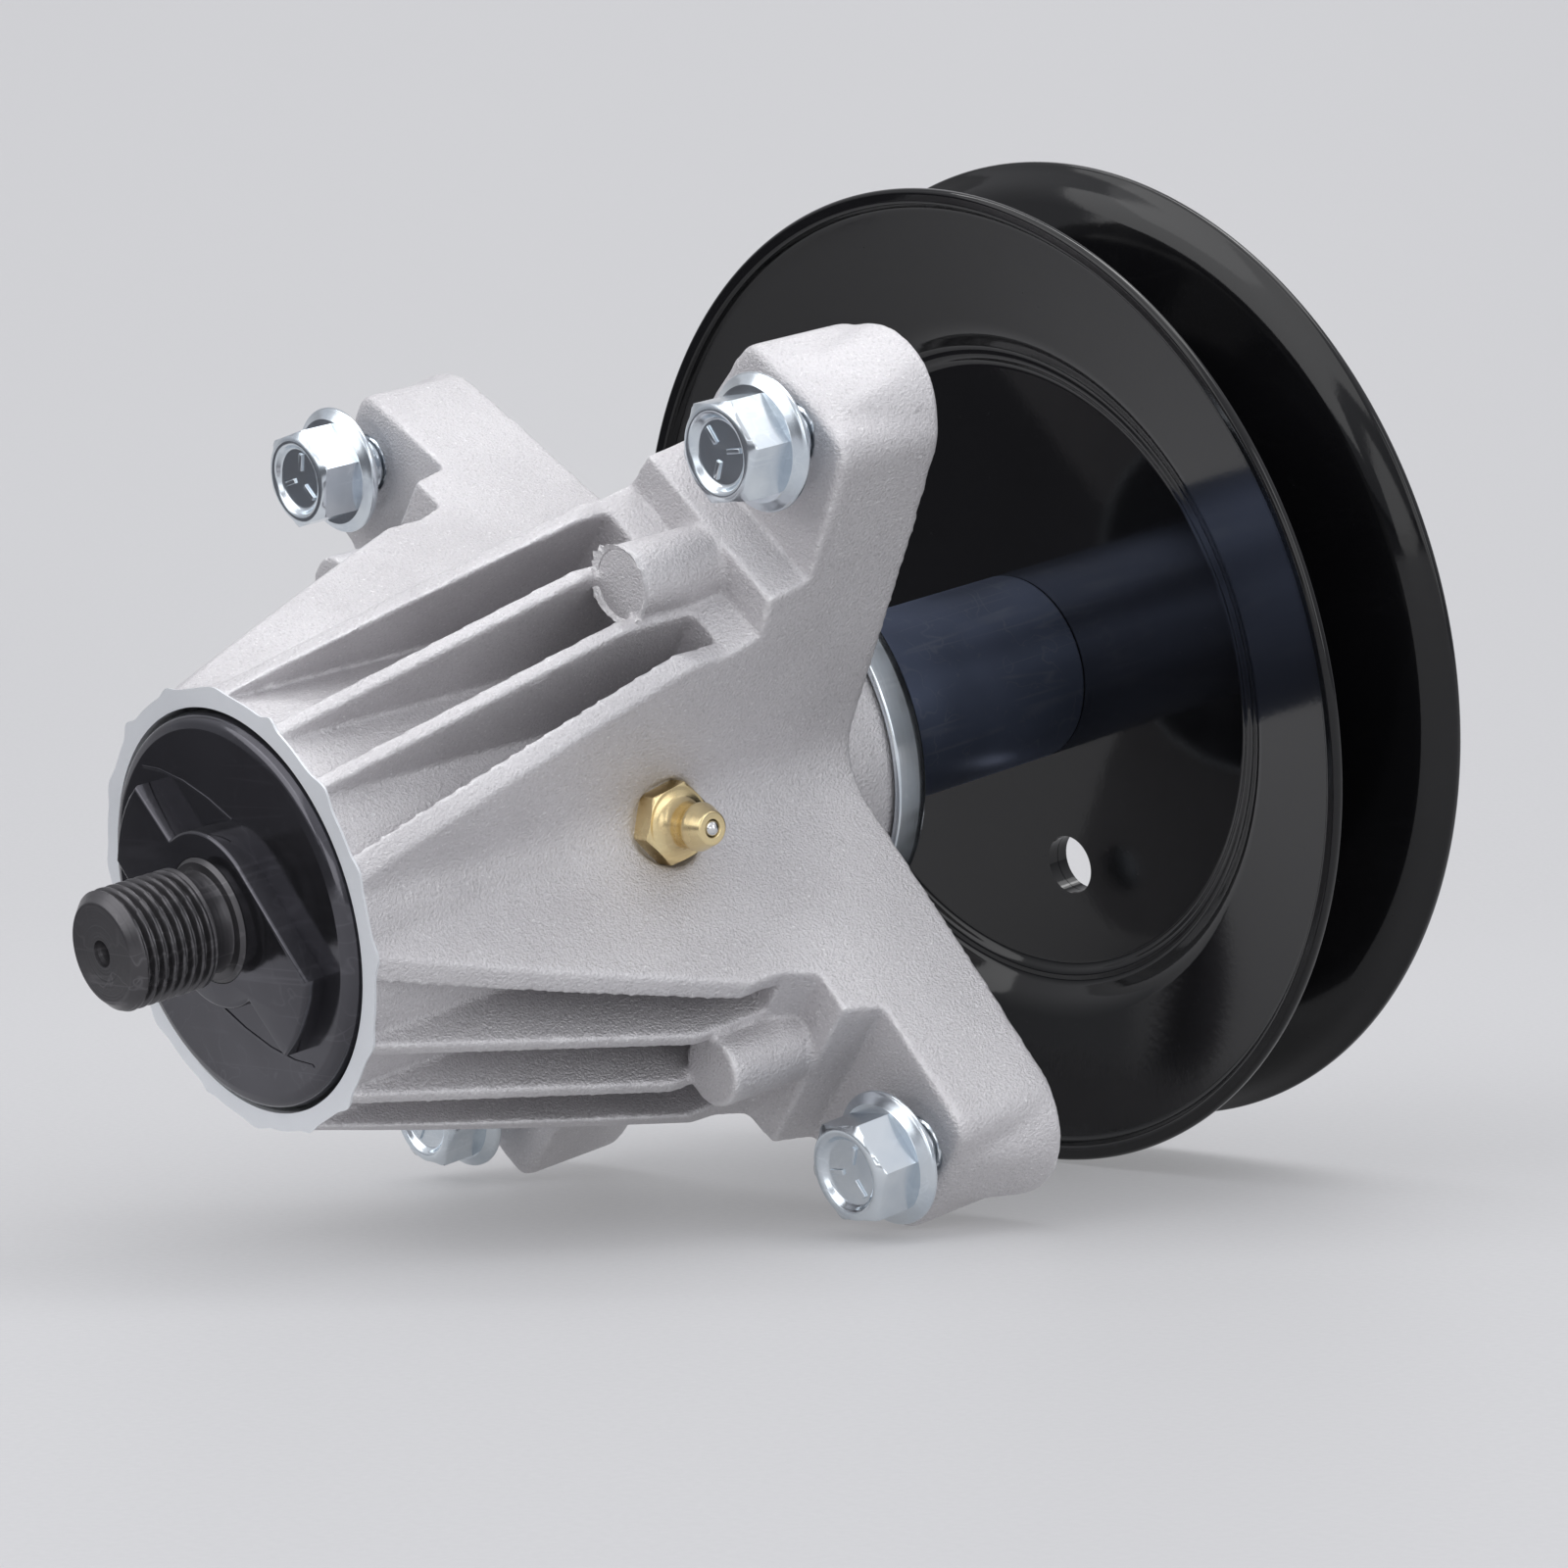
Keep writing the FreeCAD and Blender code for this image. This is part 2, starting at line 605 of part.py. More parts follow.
def build_shaft():
    """The turned shaft: threaded ends, a driver seat, the bearing journal and a flatted pulley seat."""
    body = new_body("spindle_shaft")
    revolve(body, "turned_shaft", [
        (0, 0), ("tip_radius", 0), ("thread_radius", "tip_chamfer"), ("thread_radius", "relief_start"),
        ("relief_radius", "relief_start"), ("relief_radius", "relief_end"),
        ("collar_edge_radius", "relief_end"), ("driver_seat_radius", "plateau_top"),
        ("driver_seat_radius", "lower_front"), ("journal_radius", "lower_front"),
        ("journal_radius", "seat_start"), ("pulley_seat_radius", "seat_start"),
        ("pulley_seat_radius", "seat_end"), ("thread_radius", "seat_end"),
        ("thread_radius", "top_chamfer_start"), ("tip_radius", "shaft_top"), (0, "shaft_top")])
    sketch = new_sketch(body, "flats_outline", "XY_Plane", "shaft_top")
    for side in ("", "-"):
        draw_outline(sketch, [(side + "pulley_flat_half", -12.0), (side + "spacer_radius", -12.0),
                              (side + "spacer_radius", 12.0), (side + "pulley_flat_half", 12.0)])
    reach = size("shaft_top") - size("seat_start")
    feature = body.newObject("PartDesign::Pocket", "flats")
    feature.Profile = sketch
    feature.Length = reach
    feature.setExpression("Length", "Sizes.shaft_top - Sizes.seat_start")
    doc.recompute()
    sketch = new_sketch(body, "centre_drill_outline", "XZ_Plane")
    draw_outline(sketch, [(0, -1.0), ("centre_hole_radius", -1.0), ("centre_hole_radius", 0),
                          (0.8, "tip_chamfer"), (0.8, "centre_hole_depth"), (0, "centre_hole_depth")])
    groove(body, "centre_drill", sketch)
    return body


def build_driver():
    """The blade driver: a round disc in the end of the housing with a raised two-lobed plateau."""
    body = new_body("blade_driver")
    revolve(body, "driver_disc", [
        (0, "driver_face"), ("driver_radius", "driver_face"), ("driver_radius", "driver_back"),
        ("driver_hub_radius", "driver_back"), ("driver_hub_radius", "lower_front"), (0, "lower_front")])
    names = circle_edges(body.Shape, [("driver_radius", "driver_face")])
    round_edges(body, "driver_edge", names, "driver_edge_round")
    sketch = new_sketch(body, "plateau_hub_outline", "XY_Plane", "driver_face")
    draw_circle(sketch, 0, 0, "plateau_hub_radius")
    pad(body, "plateau_hub", sketch, "plateau_height", down=True)
    sketch = new_sketch(body, "lobe_outline", "XY_Plane", "driver_face")
    draw_outline(sketch, [(0, 0), ("lobe_tangent_x", "-lobe_tangent_y"), ("lobe_long_x", "lobe_long_y"),
                          ("lobe_reach", "lobe_short_y"), ("lobe_short_x", "lobe_short_y"),
                          ("lobe_root_x", "lobe_root_y")])
    lobe = pad(body, "lobe", sketch, "plateau_height", down=True)
    pattern(body, "lobes", lobe, 2)
    turn_out(body, "lobe_ends", [("lobe_reach", 0), ("clear_radius", 0), ("clear_radius", "driver_face"),
                                 ("lobe_reach", "driver_face")])
    turn_out(body, "driver_bore", [(0, 0), ("driver_bore_radius", 0),
                                   ("driver_bore_radius", "lower_back"), (0, "lower_back")])
    return body


def build_sleeve(label, outer, start, end):
    """A plain tube on the journal between two named heights."""
    body = new_body(label)
    revolve(body, label + "_tube", [("sleeve_bore_radius", start), (outer, start), (outer, end),
                                    ("sleeve_bore_radius", end)])
    return body


def build_shield():
    """The stamped dust shield: a dished disc clamped on the journal, its skirt over the hub."""
    body = new_body("dust_shield")
    revolve(body, "shield_cup", [
        ("sleeve_bore_radius", "upper_back"), ("shield_seat_radius", "upper_back"),
        ("shield_land_radius", "shield_land_under"), ("shield_inner_radius", "shield_land_under"),
        ("shield_inner_radius", "shield_skirt_end"), ("shield_radius", "shield_skirt_end"),
        ("shield_radius", "shield_top"), ("shield_land_radius", "shield_top"),
        ("shield_seat_radius", "shield_seat"), ("sleeve_bore_radius", "shield_seat")])
    names = circle_edges(body.Shape, [("shield_radius", "shield_top")])
    round_edges(body, "shield_shoulder", names, "shield_round")
    return body


def build_pulley_half(label, front):
    """One stamped half of the pulley: flat web, a stepped ring, a cone and a flat rim lip. The rear
    half is the same stamping turned round."""
    body = new_body(label)
    outer = [("web_bore_radius", "web"), ("web_radius", "web"), ("step_start", "step"),
             ("step_radius", "step"), ("knee_radius", "knee"), ("lip_radius", "lip"), ("lip_end", "rim"),
             ("pulley_radius", "rim")]
    belt_side = [("web_bore_radius", "web"), ("inner_web_radius", "web"), ("inner_step_start", "step"),
                 ("inner_step_radius", "step"), ("inner_knee_radius", "knee")] + outer[5:]
    side = "front" if front else "back"
    outline = [(radius, "%s_%s_outside" % (side, rise)) for radius, rise in outer]
    outline += [(radius, "%s_%s_inside" % (side, rise)) for radius, rise in reversed(belt_side)]
    revolve(body, label + "_stamping", outline)
    sketch = new_sketch(body, label + "_hole_outline", "XY_Plane", "nut_top")
    draw_circle(sketch, "web_hole_x", "web_hole_y", "web_hole_radius")
    pocket(body, label + "_hole", sketch, "casting_depth")
    return body


def build_nut():
    """The flanged hex nut that clamps the pulley."""
    body = new_body("pulley_nut")
    sketch = new_sketch(body, "nut_hex_outline", "XY_Plane", "web_back")
    draw_hexagon(sketch, "nut_flats")
    pad(body, "nut_hex", sketch, "nut_height")
    revolve(body, "nut_flange", [(0, "web_back"), ("nut_flange_radius", "web_back"),
                                 ("nut_flange_radius", "nut_flare_height"),
                                 ("nut_flat_radius", "nut_cone_top"),
                                 (0, "nut_cone_top")])
    turn_out(body, "nut_crown", [("nut_crown_start", "nut_top"), ("nut_clear_radius", "nut_top"),
                                 ("nut_clear_radius", "nut_crown_foot")])
    turn_out(body, "nut_thread_hole", [(0, "web_middle"), ("nut_bore_radius", "web_middle"),
                                       ("nut_bore_radius", "shaft_top"), (0, "shaft_top")])
    return body


def build_bolt_pattern():
    """One flanged hex bolt drawn about its own axis, then the four of them standing in the ears, each
    driven only part of the way."""
    master = new_body("bolt_drawing")
    sketch = new_sketch(master, "bolt_hex_outline", "XY_Plane")
    draw_hexagon(sketch, "bolt_hex_flats")
    pad(master, "bolt_hex", sketch, "bolt_head_height")
    revolve(master, "bolt_flange", [(0, 0), ("bolt_flange_radius", 0),
                                    ("bolt_flange_radius", "bolt_flange_edge"),
                                    ("bolt_flat_radius", "bolt_flange_rise"), (0, "bolt_flange_rise")])
    turn_out(master, "bolt_crown", [("bolt_crown_start", "bolt_head_height"),
                                    ("bolt_clear_radius", "bolt_head_height"),
                                    ("bolt_clear_radius", "bolt_crown_foot")])
    turn_out(master, "bolt_dish", [(0, "bolt_above_head"), ("bolt_dish_radius", "bolt_above_head"),
                                   ("bolt_dish_radius", "bolt_head_height"),
                                   ("bolt_dish_floor_radius", "bolt_dish_floor"),
                                   (0, "bolt_dish_floor")])
    revolve(master, "bolt_shank", [(0, "bolt_flange_edge"), (0, "-bolt_length"),
                                   ("bolt_tip_radius", "-bolt_length"),
                                   ("bolt_radius", "bolt_point_height"),
                                   ("bolt_radius", "bolt_flange_edge")])
    bolts = []
    height = size("pad_face") - size("bolt_stand")
    for number, turn in enumerate((12.0, -20.0, 31.0, 4.0)):
        angle = math.radians(45 + 90 * number)
        reach = size("bolt_circle_radius")
        bolt = master.Shape.copy()
        facing = Rotation(Vector(0, 0, 1), turn).multiply(Rotation(Vector(1, 0, 0), 180))
        spot = Vector(reach * math.cos(angle), reach * math.sin(angle), height)
        bolt.Placement = Placement(spot, facing)
        bolts.append(bolt)
    feature = doc.addObject("Part::Feature", "mounting_bolts")
    feature.Shape = Part.makeCompound(bolts)
    return feature


def build_bearing(label, front):
    """One sealed ball bearing: two grooved races, the balls in their cage and a seal each side."""
    pieces = []
    lift = Vector(0, 0, size(front))
    for ring, inner, outer in (("outer_race", "outer_race_bore", "bearing_radius"),
                               ("inner_race", "sleeve_bore_radius", "inner_race_radius")):
        body = new_body(label + "_" + ring)
        revolve(body, ring + "_ring", [(inner, 0), (outer, 0), (outer, "bearing_width"),
                                       (inner, "bearing_width")])
        sketch = new_sketch(body, ring + "_groove_outline", "XZ_Plane")
        draw_circle(sketch, "ball_pitch_radius", "bearing_middle", "groove_radius")
        groove(body, ring + "_groove", sketch)
        body.Placement = Placement(lift, Rotation())
        pieces.append(body)

    cage = new_body(label + "_cage")
    revolve(cage, "cage_ring", [("cage_inner_radius", "cage_start"), ("cage_outer_radius", "cage_start"),
                                ("cage_outer_radius", "cage_end"), ("cage_inner_radius", "cage_end")])
    sketch = new_sketch(cage, "cage_pocket_outline", "YZ_Plane")
    draw_circle(sketch, 0, "bearing_middle", "cage_pocket_radius")
    pattern(cage, "cage_pockets", pocket(cage, "cage_pocket", sketch, "bearing_radius", up=True),
            "ball_count")
    cage.Placement = Placement(lift, Rotation())
    pieces.append(cage)

    count = int(size("ball_count"))
    pitch = size("ball_pitch_radius")
    balls = []
    for number in range(count):
        angle = 2 * math.pi * number / count
        spot = Vector(pitch * math.cos(angle), pitch * math.sin(angle), size("bearing_middle"))
        balls.append(Part.makeSphere(size("ball_radius"), spot))
    feature = doc.addObject("Part::Feature", label + "_balls")
    feature.Shape = Part.makeCompound(balls)
    feature.Placement = Placement(lift, Rotation())
    pieces.append(feature)

    seals = []
    width = size("seal_thickness")
    for start in (size("seal_recess"), size("bearing_width") - size("seal_recess") - width):
        disc = Part.makeCylinder(size("outer_race_bore"), width, Vector(0, 0, start))
        hole = Part.makeCylinder(size("seal_inner_radius"), width, Vector(0, 0, start))
        seals.append(disc.cut(hole))
    feature = doc.addObject("Part::Feature", label + "_seals")
    feature.Shape = Part.makeCompound(seals)
    feature.Placement = Placement(lift, Rotation())
    pieces.append(feature)
    return pieces


def build_fitting():
    """The grease fitting about its own axis: hex, waisted nose, and inside it a check ball held up
    against the mouth by a fine spring."""
    body = new_body("grease_fitting_body")
    sketch = new_sketch(body, "fitting_hex_outline", "XY_Plane")
    draw_hexagon(sketch, "grease_hex_flats", size("grease_hex_turn"))
    pad(body, "fitting_hex", sketch, "grease_hex_height")
    revolve(body, "fitting_nose", [
        (0, "-grease_shank_length"), ("grease_shank_radius", "-grease_shank_length"),
        ("grease_shank_radius", 0), ("grease_shoulder_radius", 0),
        ("grease_shoulder_radius", "grease_shoulder_height"),
        ("grease_neck_radius", "grease_neck_height"), ("grease_neck_radius", "grease_throat_height"),
        ("grease_head_radius", "grease_head_height"), ("grease_head_radius", "grease_crown_height"),
        ("grease_nose_radius", "grease_height"), (0, "grease_height")])
    top = size("grease_height")
    ball_height = top - size("grease_ball_radius") - 0.15
    foot = size("grease_spring_seat") - size("grease_shank_length")
    mouth = size("grease_mouth_radius")
    turn_out(body, "fitting_bore", [
        (0, -10.0), (mouth * 0.7, -10.0), (mouth * 0.7, foot), ("grease_bore_radius", foot),
        ("grease_bore_radius", ball_height),
        ("grease_mouth_radius", ball_height + 0.75), ("grease_mouth_radius", top + 1.0), (0, top + 1.0)])

    ball = doc.addObject("Part::Feature", "grease_fitting_ball")
    ball.Shape = Part.makeSphere(size("grease_ball_radius"), Vector(0, 0, ball_height))

    wire = size("grease_spring_wire")
    coil = size("grease_bore_radius") - wire - 0.1
    foot += size("grease_ball_travel") + wire + 0.05
    length = ball_height - size("grease_ball_radius") * 0.75 - wire - foot
    path = Part.makeHelix(length / 8, length, coil)
    section = Part.Wire(Part.makeCircle(wire, Vector(coil, 0, 0), Vector(0, 1, 0)))
    spring = doc.addObject("Part::Feature", "grease_fitting_spring")
    spring.Shape = Part.Wire(path).makePipeShell([section], True, True)
    spring.Placement = Placement(Vector(0, 0, foot), Rotation())
    return [body, ball, spring]


def lie_angle():
    """How far the spindle tips up towards the pulley when it rests on the pulley's rim and on
    whatever of the lower ears reaches the floor first: the bolt's flange, its hex or the ear."""
    across = size("bolt_circle_radius") / math.sqrt(2)
    flange = size("pad_face") - size("bolt_stand")
    hexagon = size("bolt_hex_flats") / 2 / math.cos(math.pi / 6)
    inset = size("arm_corner_round")
    corner = (size("block_reach") + size("arm_end_far") - 2 * inset) / math.sqrt(2) + inset
    nose = (size("bolt_circle_radius") + size("arm_nose_shift")) / math.sqrt(2) + size("bolt_edge_margin")
    narrowing = size("ear_thickness") * math.tan(math.radians(size("arm_nose_draft")))
    touching = [(across + size("bolt_flange_radius"), flange - size("bolt_flange_edge")),
                (across + hexagon, flange - size("bolt_head_height") + 1.0),
                (corner, size("pad_face")), (nose - narrowing, size("pad_face")),
                (nose, size("deck_face"))]
    slopes = [(size("pulley_radius") - drop) / (size("rim_front") - height) for drop, height in touching]
    return math.degrees(math.atan(min(slopes)))


housing = build_housing()
fitting = build_fitting()
pieces = [housing, build_shaft(), build_driver(),
          build_sleeve("inner_spacer", "inner_spacer_radius", "lower_back", "upper_front"),
          build_shield(), build_sleeve("pulley_spacer", "spacer_radius", "shield_seat", "web_front"),
          build_pulley_half("pulley_front_half", True), build_pulley_half("pulley_rear_half", False),
          build_nut(), build_bolt_pattern()]
pieces += build_bearing("lower_bearing", "lower_front")
pieces += build_bearing("upper_bearing", "upper_front")
pieces += fitting

# The fitting goes to its seat, then everything is laid down about the centre of the deck face
for piece in fitting:
    piece.Placement = fitting_place().multiply(piece.Placement)
lie = math.radians(lie_angle())
laid = Placement(FreeCAD.Matrix(
    1, 0, 0, 0,
    0, math.sin(lie), math.cos(lie), 0,
    0, -math.cos(lie), math.sin(lie), 0,
    0, 0, 0, 1))
for piece in pieces:
    piece.Placement = laid.multiply(piece.Placement)
doc.recompute()
box = Part.makeCompound([piece.Shape for piece in pieces]).optimalBoundingBox()
centred = Placement(Vector(0, -(box.YMin + box.YMax) / 2, -box.ZMin), Rotation())
for piece in pieces:
    piece.Placement = centred.multiply(piece.Placement)
doc.recompute()

for thing in doc.Objects:
    if "Invalid" in thing.State or "Error" in thing.State:
        raise ValueError(thing.Label + " did not build")
os.makedirs("parts", exist_ok=True)
print("lie angle", round(math.degrees(lie), 3), "shift", centred.Base)
for piece in pieces:
    if piece.Shape.isNull() or not piece.Shape.isValid():
        raise ValueError(piece.Label + " has no valid shape")
    piece.Shape.exportStep("parts/%s.step" % piece.Label)
    print(piece.Label, len(piece.Shape.Solids), round(piece.Shape.Volume, 1))
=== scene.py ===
# %% [markdown]
# # Mower deck spindle, dressed for a product photograph
# The frame is the measured solid model of the spindle, lying at rest on two ears of its housing
# and on the rim of its pulley. Each visible piece is made again here with the roundings, threads
# and surface that the solid model leaves out, always in the place that the frame gives.

import json
import math
import random

import bmesh
import bpy
from mathutils import Euler, Matrix, Vector, noise


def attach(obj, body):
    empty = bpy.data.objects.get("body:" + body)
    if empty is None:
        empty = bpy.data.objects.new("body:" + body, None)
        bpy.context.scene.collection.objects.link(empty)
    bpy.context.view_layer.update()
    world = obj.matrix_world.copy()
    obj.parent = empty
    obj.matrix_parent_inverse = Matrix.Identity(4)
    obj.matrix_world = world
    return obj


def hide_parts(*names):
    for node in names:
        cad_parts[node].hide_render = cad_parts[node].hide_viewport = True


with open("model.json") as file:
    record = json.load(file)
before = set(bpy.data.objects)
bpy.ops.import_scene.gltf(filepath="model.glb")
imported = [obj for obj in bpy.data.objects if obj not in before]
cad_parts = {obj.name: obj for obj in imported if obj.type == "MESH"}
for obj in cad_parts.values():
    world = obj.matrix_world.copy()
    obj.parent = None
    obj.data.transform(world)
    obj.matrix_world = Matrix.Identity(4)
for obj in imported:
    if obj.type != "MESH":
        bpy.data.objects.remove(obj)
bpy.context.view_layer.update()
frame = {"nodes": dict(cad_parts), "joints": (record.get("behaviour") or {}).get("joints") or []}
nodes = frame["nodes"]

# %% [markdown]
# ## The spindle's own coordinates
# Nearly every piece is turned about one axis, so it is easiest to draw pieces along that axis:
# height 0 at the threaded tip, growing towards the pulley, x to the grease fitting and y down.
# The frame's record holds the axis as the joint that the shaft turns on, with its point 60 mm
# from the tip. One matrix takes drawings into the frame. Drawings are in millimetres, and the
# frame is in metres.

# %% Axis of the spindle
MM = 0.001
spin = [joint for joint in frame["joints"] if joint["name"] == "spindle_spin"][0]
along = Vector(spin["axis"]).normalized()
across = Vector((1, 0, 0))
down = along.cross(across)
lie = Matrix((across, down, along)).transposed().to_4x4()
lie.translation = Vector(spin["pos_m"]) - along * 0.060
print("tilt of the axis, degrees", round(math.degrees(math.asin(along.z)), 2))

# Heights of the main planes along the axis
PLATEAU, DISC, RING, DECK = 16.0, 19.0, 20.6, 102.3
SHIELD_SEAT, SHIELD_TOP, WEB, WEB_BACK, SHAFT_TOP = 114.9, 116.0, 159.4, 163.0, 180.5

# Radii that pieces share: the shaft's seats and thread, what slips over it, and the bolts
SHAFT_SEAT, SHAFT_THREAD, DRIVER_BORE, SLIP_BORE = 10.0, 7.94, 8.34, 10.04
BOLT_CIRCLE, BOLT_THREAD = 66.5, 3.97


# %% Placing a piece
def linked(name, data):
    """A new object for a mesh, lamp or camera, put into the scene."""
    made = bpy.data.objects.new(name, data)
    bpy.context.scene.collection.objects.link(made)
    return made


def place(name, mesh, body, *replaced, slot, matrix=None):
    """Puts a drawn mesh into the frame, rides it on its body and hides what it stands for."""
    piece = linked(name, mesh)
    piece.matrix_world = lie @ matrix if matrix else lie
    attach(piece, body)
    if replaced:
        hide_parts(*replaced)
    print(name, len(mesh.polygons), "faces")


# %% [markdown]
# ## Turned and pressed profiles
# A lathe part is a profile of (radius, height) points carried round the axis. Sharp corners are
# never razor sharp on real parts, so each corner is eased into a short curve first. A hexagon is
# the same lathe with its radius held down to the flats, which gives the curved chamfer of a real
# nut for free.

# %% Easing the corners of a profile
SUPPORT = 0.12


def eased(points, radius=0.4, steps=3):
    """The profile with its inner corners rounded; a third number on a point sets its own radius."""
    out = []
    for i, point in enumerate(points):
        reach = point[2] if len(point) > 2 else radius
        here = Vector(point[:2])
        if i in (0, len(points) - 1) or reach <= 0:
            out.append(tuple(here))
            continue
        before = Vector(points[i - 1][:2]) - here
        after = Vector(points[i + 1][:2]) - here
        span = min(reach, before.length * 0.45, after.length * 0.45)
        start = here + before.normalized() * span
        end = here + after.normalized() * span
        # A close ring beside each rounding keeps the long faces flat in the shading
        if before.length > 2.5 * span + 0.3:
            out.append(tuple(start + before.normalized() * SUPPORT))
        for step in range(steps + 1):
            t = step / steps
            out.append(tuple(start * (1 - t) ** 2 + here * 2 * t * (1 - t) + end * t * t))
        if after.length > 2.5 * span + 0.3:
            out.append(tuple(end + after.normalized() * SUPPORT))
    return out


# %% Points, rings and meshes
def at(radius, turn, height):
    """A point at a radius, an angle and a height on the axis, from millimetres to metres."""
    return radius * math.cos(turn) * MM, radius * math.sin(turn) * MM, height * MM


def band(work, low, high):
    """Faces between two rings of points; a ring of one point is a pole."""
    count = max(len(low), len(high))
    for k in range(count):
        n = (k + 1) % count
        corners = (low[k % len(low)], high[k % len(high)], high[n % len(high)], low[n % len(low)])
        work.faces.new(list(dict.fromkeys(corners)))


def smooth(mesh, angle=38):
    """Smooth shading that stops at real corners."""
    mesh.polygons.foreach_set("use_smooth", [True] * len(mesh.polygons))
    mesh.set_sharp_from_angle(angle=math.radians(angle))


def ended(work, name, angle=38):
    """Turns a drawing into a mesh, shaded flat where no angle is given."""
    mesh = bpy.data.meshes.new(name)
    work.to_mesh(mesh)
    work.free()
    if angle:
        smooth(mesh, angle)
    return mesh


def turned_outwards(work):
    bmesh.ops.recalc_face_normals(work, faces=work.faces)


# %% Lathe helper
def lathe(name, profile, sides=160, flats=None, hexed=(), wobble=None, closed=False):
    """A solid of revolution. Rings from hexed[0] to hexed[1] in height are held to the flats, and
    wobble(radius, height, angle) may change a ring's radius. A closed profile is a tube's
    section."""
    work = bmesh.new()
    rings = []
    for radius, height in profile:
        if radius < 1e-6:
            rings.append([work.verts.new((0, 0, height * MM))])
            continue
        ring = []
        for k in range(sides):
            angle = 2 * math.pi * k / sides
            r = radius
            if flats and hexed[0] <= height <= hexed[1]:
                turn = (angle + math.pi / 6) % (math.pi / 3) - math.pi / 6
                r = min(r, flats / 2 / math.cos(turn))
            if wobble:
                r = wobble(r, height, angle)
            ring.append(work.verts.new(at(r, angle, height)))
        rings.append(ring)
    for low, high in zip(rings, rings[1:]):
        band(work, low, high)
    if closed:
        band(work, rings[-1], rings[0])
    turned_outwards(work)
    return ended(work, name)


# %% Meshes from modifiers
def shaped(piece):
    """A new mesh of a piece as its modifiers leave it."""
    bpy.context.view_layer.update()
    seen = piece.evaluated_get(bpy.context.evaluated_depsgraph_get())
    return bpy.data.meshes.new_from_object(seen)


def cut(blank_mesh, tool_mesh, name):
    """The blank with the tool cut out of it."""
    blank = linked(name + "_blank", blank_mesh)
    tool = linked(name + "_tool", tool_mesh)
    step = blank.modifiers.new("cut", "BOOLEAN")
    step.operation = "DIFFERENCE"
    step.solver = "EXACT"
    step.object = tool
    done = shaped(blank)
    bpy.data.objects.remove(blank)
    bpy.data.objects.remove(tool)
    smooth(done)
    return done


# %% [markdown]
# ## Shared surface effects
# Fine grain, scratches, rubbed edges, painted shade in hollows and lathe rings turn up on several
# metals.
# Each is a node group built once, with its size and strength as inputs, so that every material can
# use its own values. The groups only put out masks and heights: the shader itself stays in the
# material.

# %% Node helpers
def add(tree, kind, inputs=None, **settings):
    """A new node; an input may be given as a number, a colour or another node's socket."""
    made = tree.nodes.new(kind)
    for key, value in settings.items():
        setattr(made, key, value)
    for key, value in (inputs or {}).items():
        if isinstance(value, bpy.types.NodeSocket):
            tree.links.new(value, made.inputs[key])
        else:
            made.inputs[key].default_value = value
    return made


def math_node(tree, operation, a, b=0.0):
    return add(tree, "ShaderNodeMath", {0: a, 1: b}, operation=operation).outputs[0]


def spread(tree, value, low, high, to_low=0.0, to_high=1.0):
    """Stretches a value between two limits and clips it."""
    limits = {"Value": value, "From Min": low, "From Max": high, "To Min": to_low,
              "To Max": to_high}
    return add(tree, "ShaderNodeMapRange", limits, clamp=True).outputs[0]


def local(tree):
    """Where a point is in the piece's own drawing."""
    return add(tree, "ShaderNodeTexCoord").outputs["Object"]


def clouds(tree, where, **values):
    """Noise at a place; the values are the noise node's own inputs."""
    return add(tree, "ShaderNodeTexNoise", {"Vector": where, **values}).outputs[0]


def new_group(name, inputs, outputs):
    group = bpy.data.node_groups.new(name, "ShaderNodeTree")
    for label, default in inputs:
        socket = group.interface.new_socket(label, in_out="INPUT", socket_type="NodeSocketFloat")
        socket.default_value = default
    for label in outputs:
        group.interface.new_socket(label, in_out="OUTPUT", socket_type="NodeSocketFloat")
    print("group", name, "gives", outputs)
    return group, add(group, "NodeGroupInput").outputs, add(group, "NodeGroupOutput").inputs


# %% Grain: the blasted skin of a casting, or the orange peel of paint
grain, given, out = new_group("surface_grain", [("Size", 2000.0), ("Waves", 60.0)],
                              ["Fine", "Broad"])
where = local(grain)
grain.links.new(clouds(grain, where, Scale=given["Size"], Detail=4.0, Roughness=0.6), out["Fine"])
grain.links.new(clouds(grain, where, Scale=given["Waves"], Detail=3.0), out["Broad"])

# %% Scratches: long thin marks in two directions
scratches, given, out = new_group("thin_scratches", [("Size", 300.0), ("Amount", 0.5)], ["Mask"])
where = local(scratches)
marks = []
for turn, stretch in ((0.35, (1, 1, 0.04)), (1.9, (0.05, 1, 1))):
    how = {"Vector": where, "Rotation": (turn, turn * 0.7, turn), "Scale": stretch}
    turned = add(scratches, "ShaderNodeMapping", how).outputs[0]
    lines = clouds(scratches, turned, Scale=given["Size"], Detail=2.0, Distortion=0.3)
    marks.append(math_node(scratches, "ABSOLUTE", math_node(scratches, "SUBTRACT", lines, 0.5)))
nearest = math_node(scratches, "MINIMUM", marks[0], marks[1])
patchy = clouds(scratches, where, Scale=90.0, Detail=2.0)
thin = spread(scratches, nearest, 0.0, 0.012, 1.0, 0.0)
kept = spread(scratches, patchy, 0.62, 0.45, 0.0, 1.0)
strokes = math_node(scratches, "MULTIPLY", thin, kept)
scratches.links.new(math_node(scratches, "MULTIPLY", strokes, given["Amount"]), out["Mask"])

# %% Rubbed edges and painted shade: raised corners are brighter than the faces beside them, and hollows get a mask for painted shade
rubbed_and_shaded, given, out = new_group("rubbed_edges_and_painted_shade", [("Start", 0.52), ("End", 0.6)], ["Mask", "PaintedShade"])
bend = add(rubbed_and_shaded, "ShaderNodeNewGeometry").outputs["Pointiness"]
rubbed_and_shaded.links.new(spread(rubbed_and_shaded, bend, given["Start"], given["End"]), out["Mask"])
# Mask for painted shade: it rises in hollows and creases, where the pointiness drops below a half
rubbed_and_shaded.links.new(spread(rubbed_and_shaded, bend, 0.5, 0.42), out["PaintedShade"])

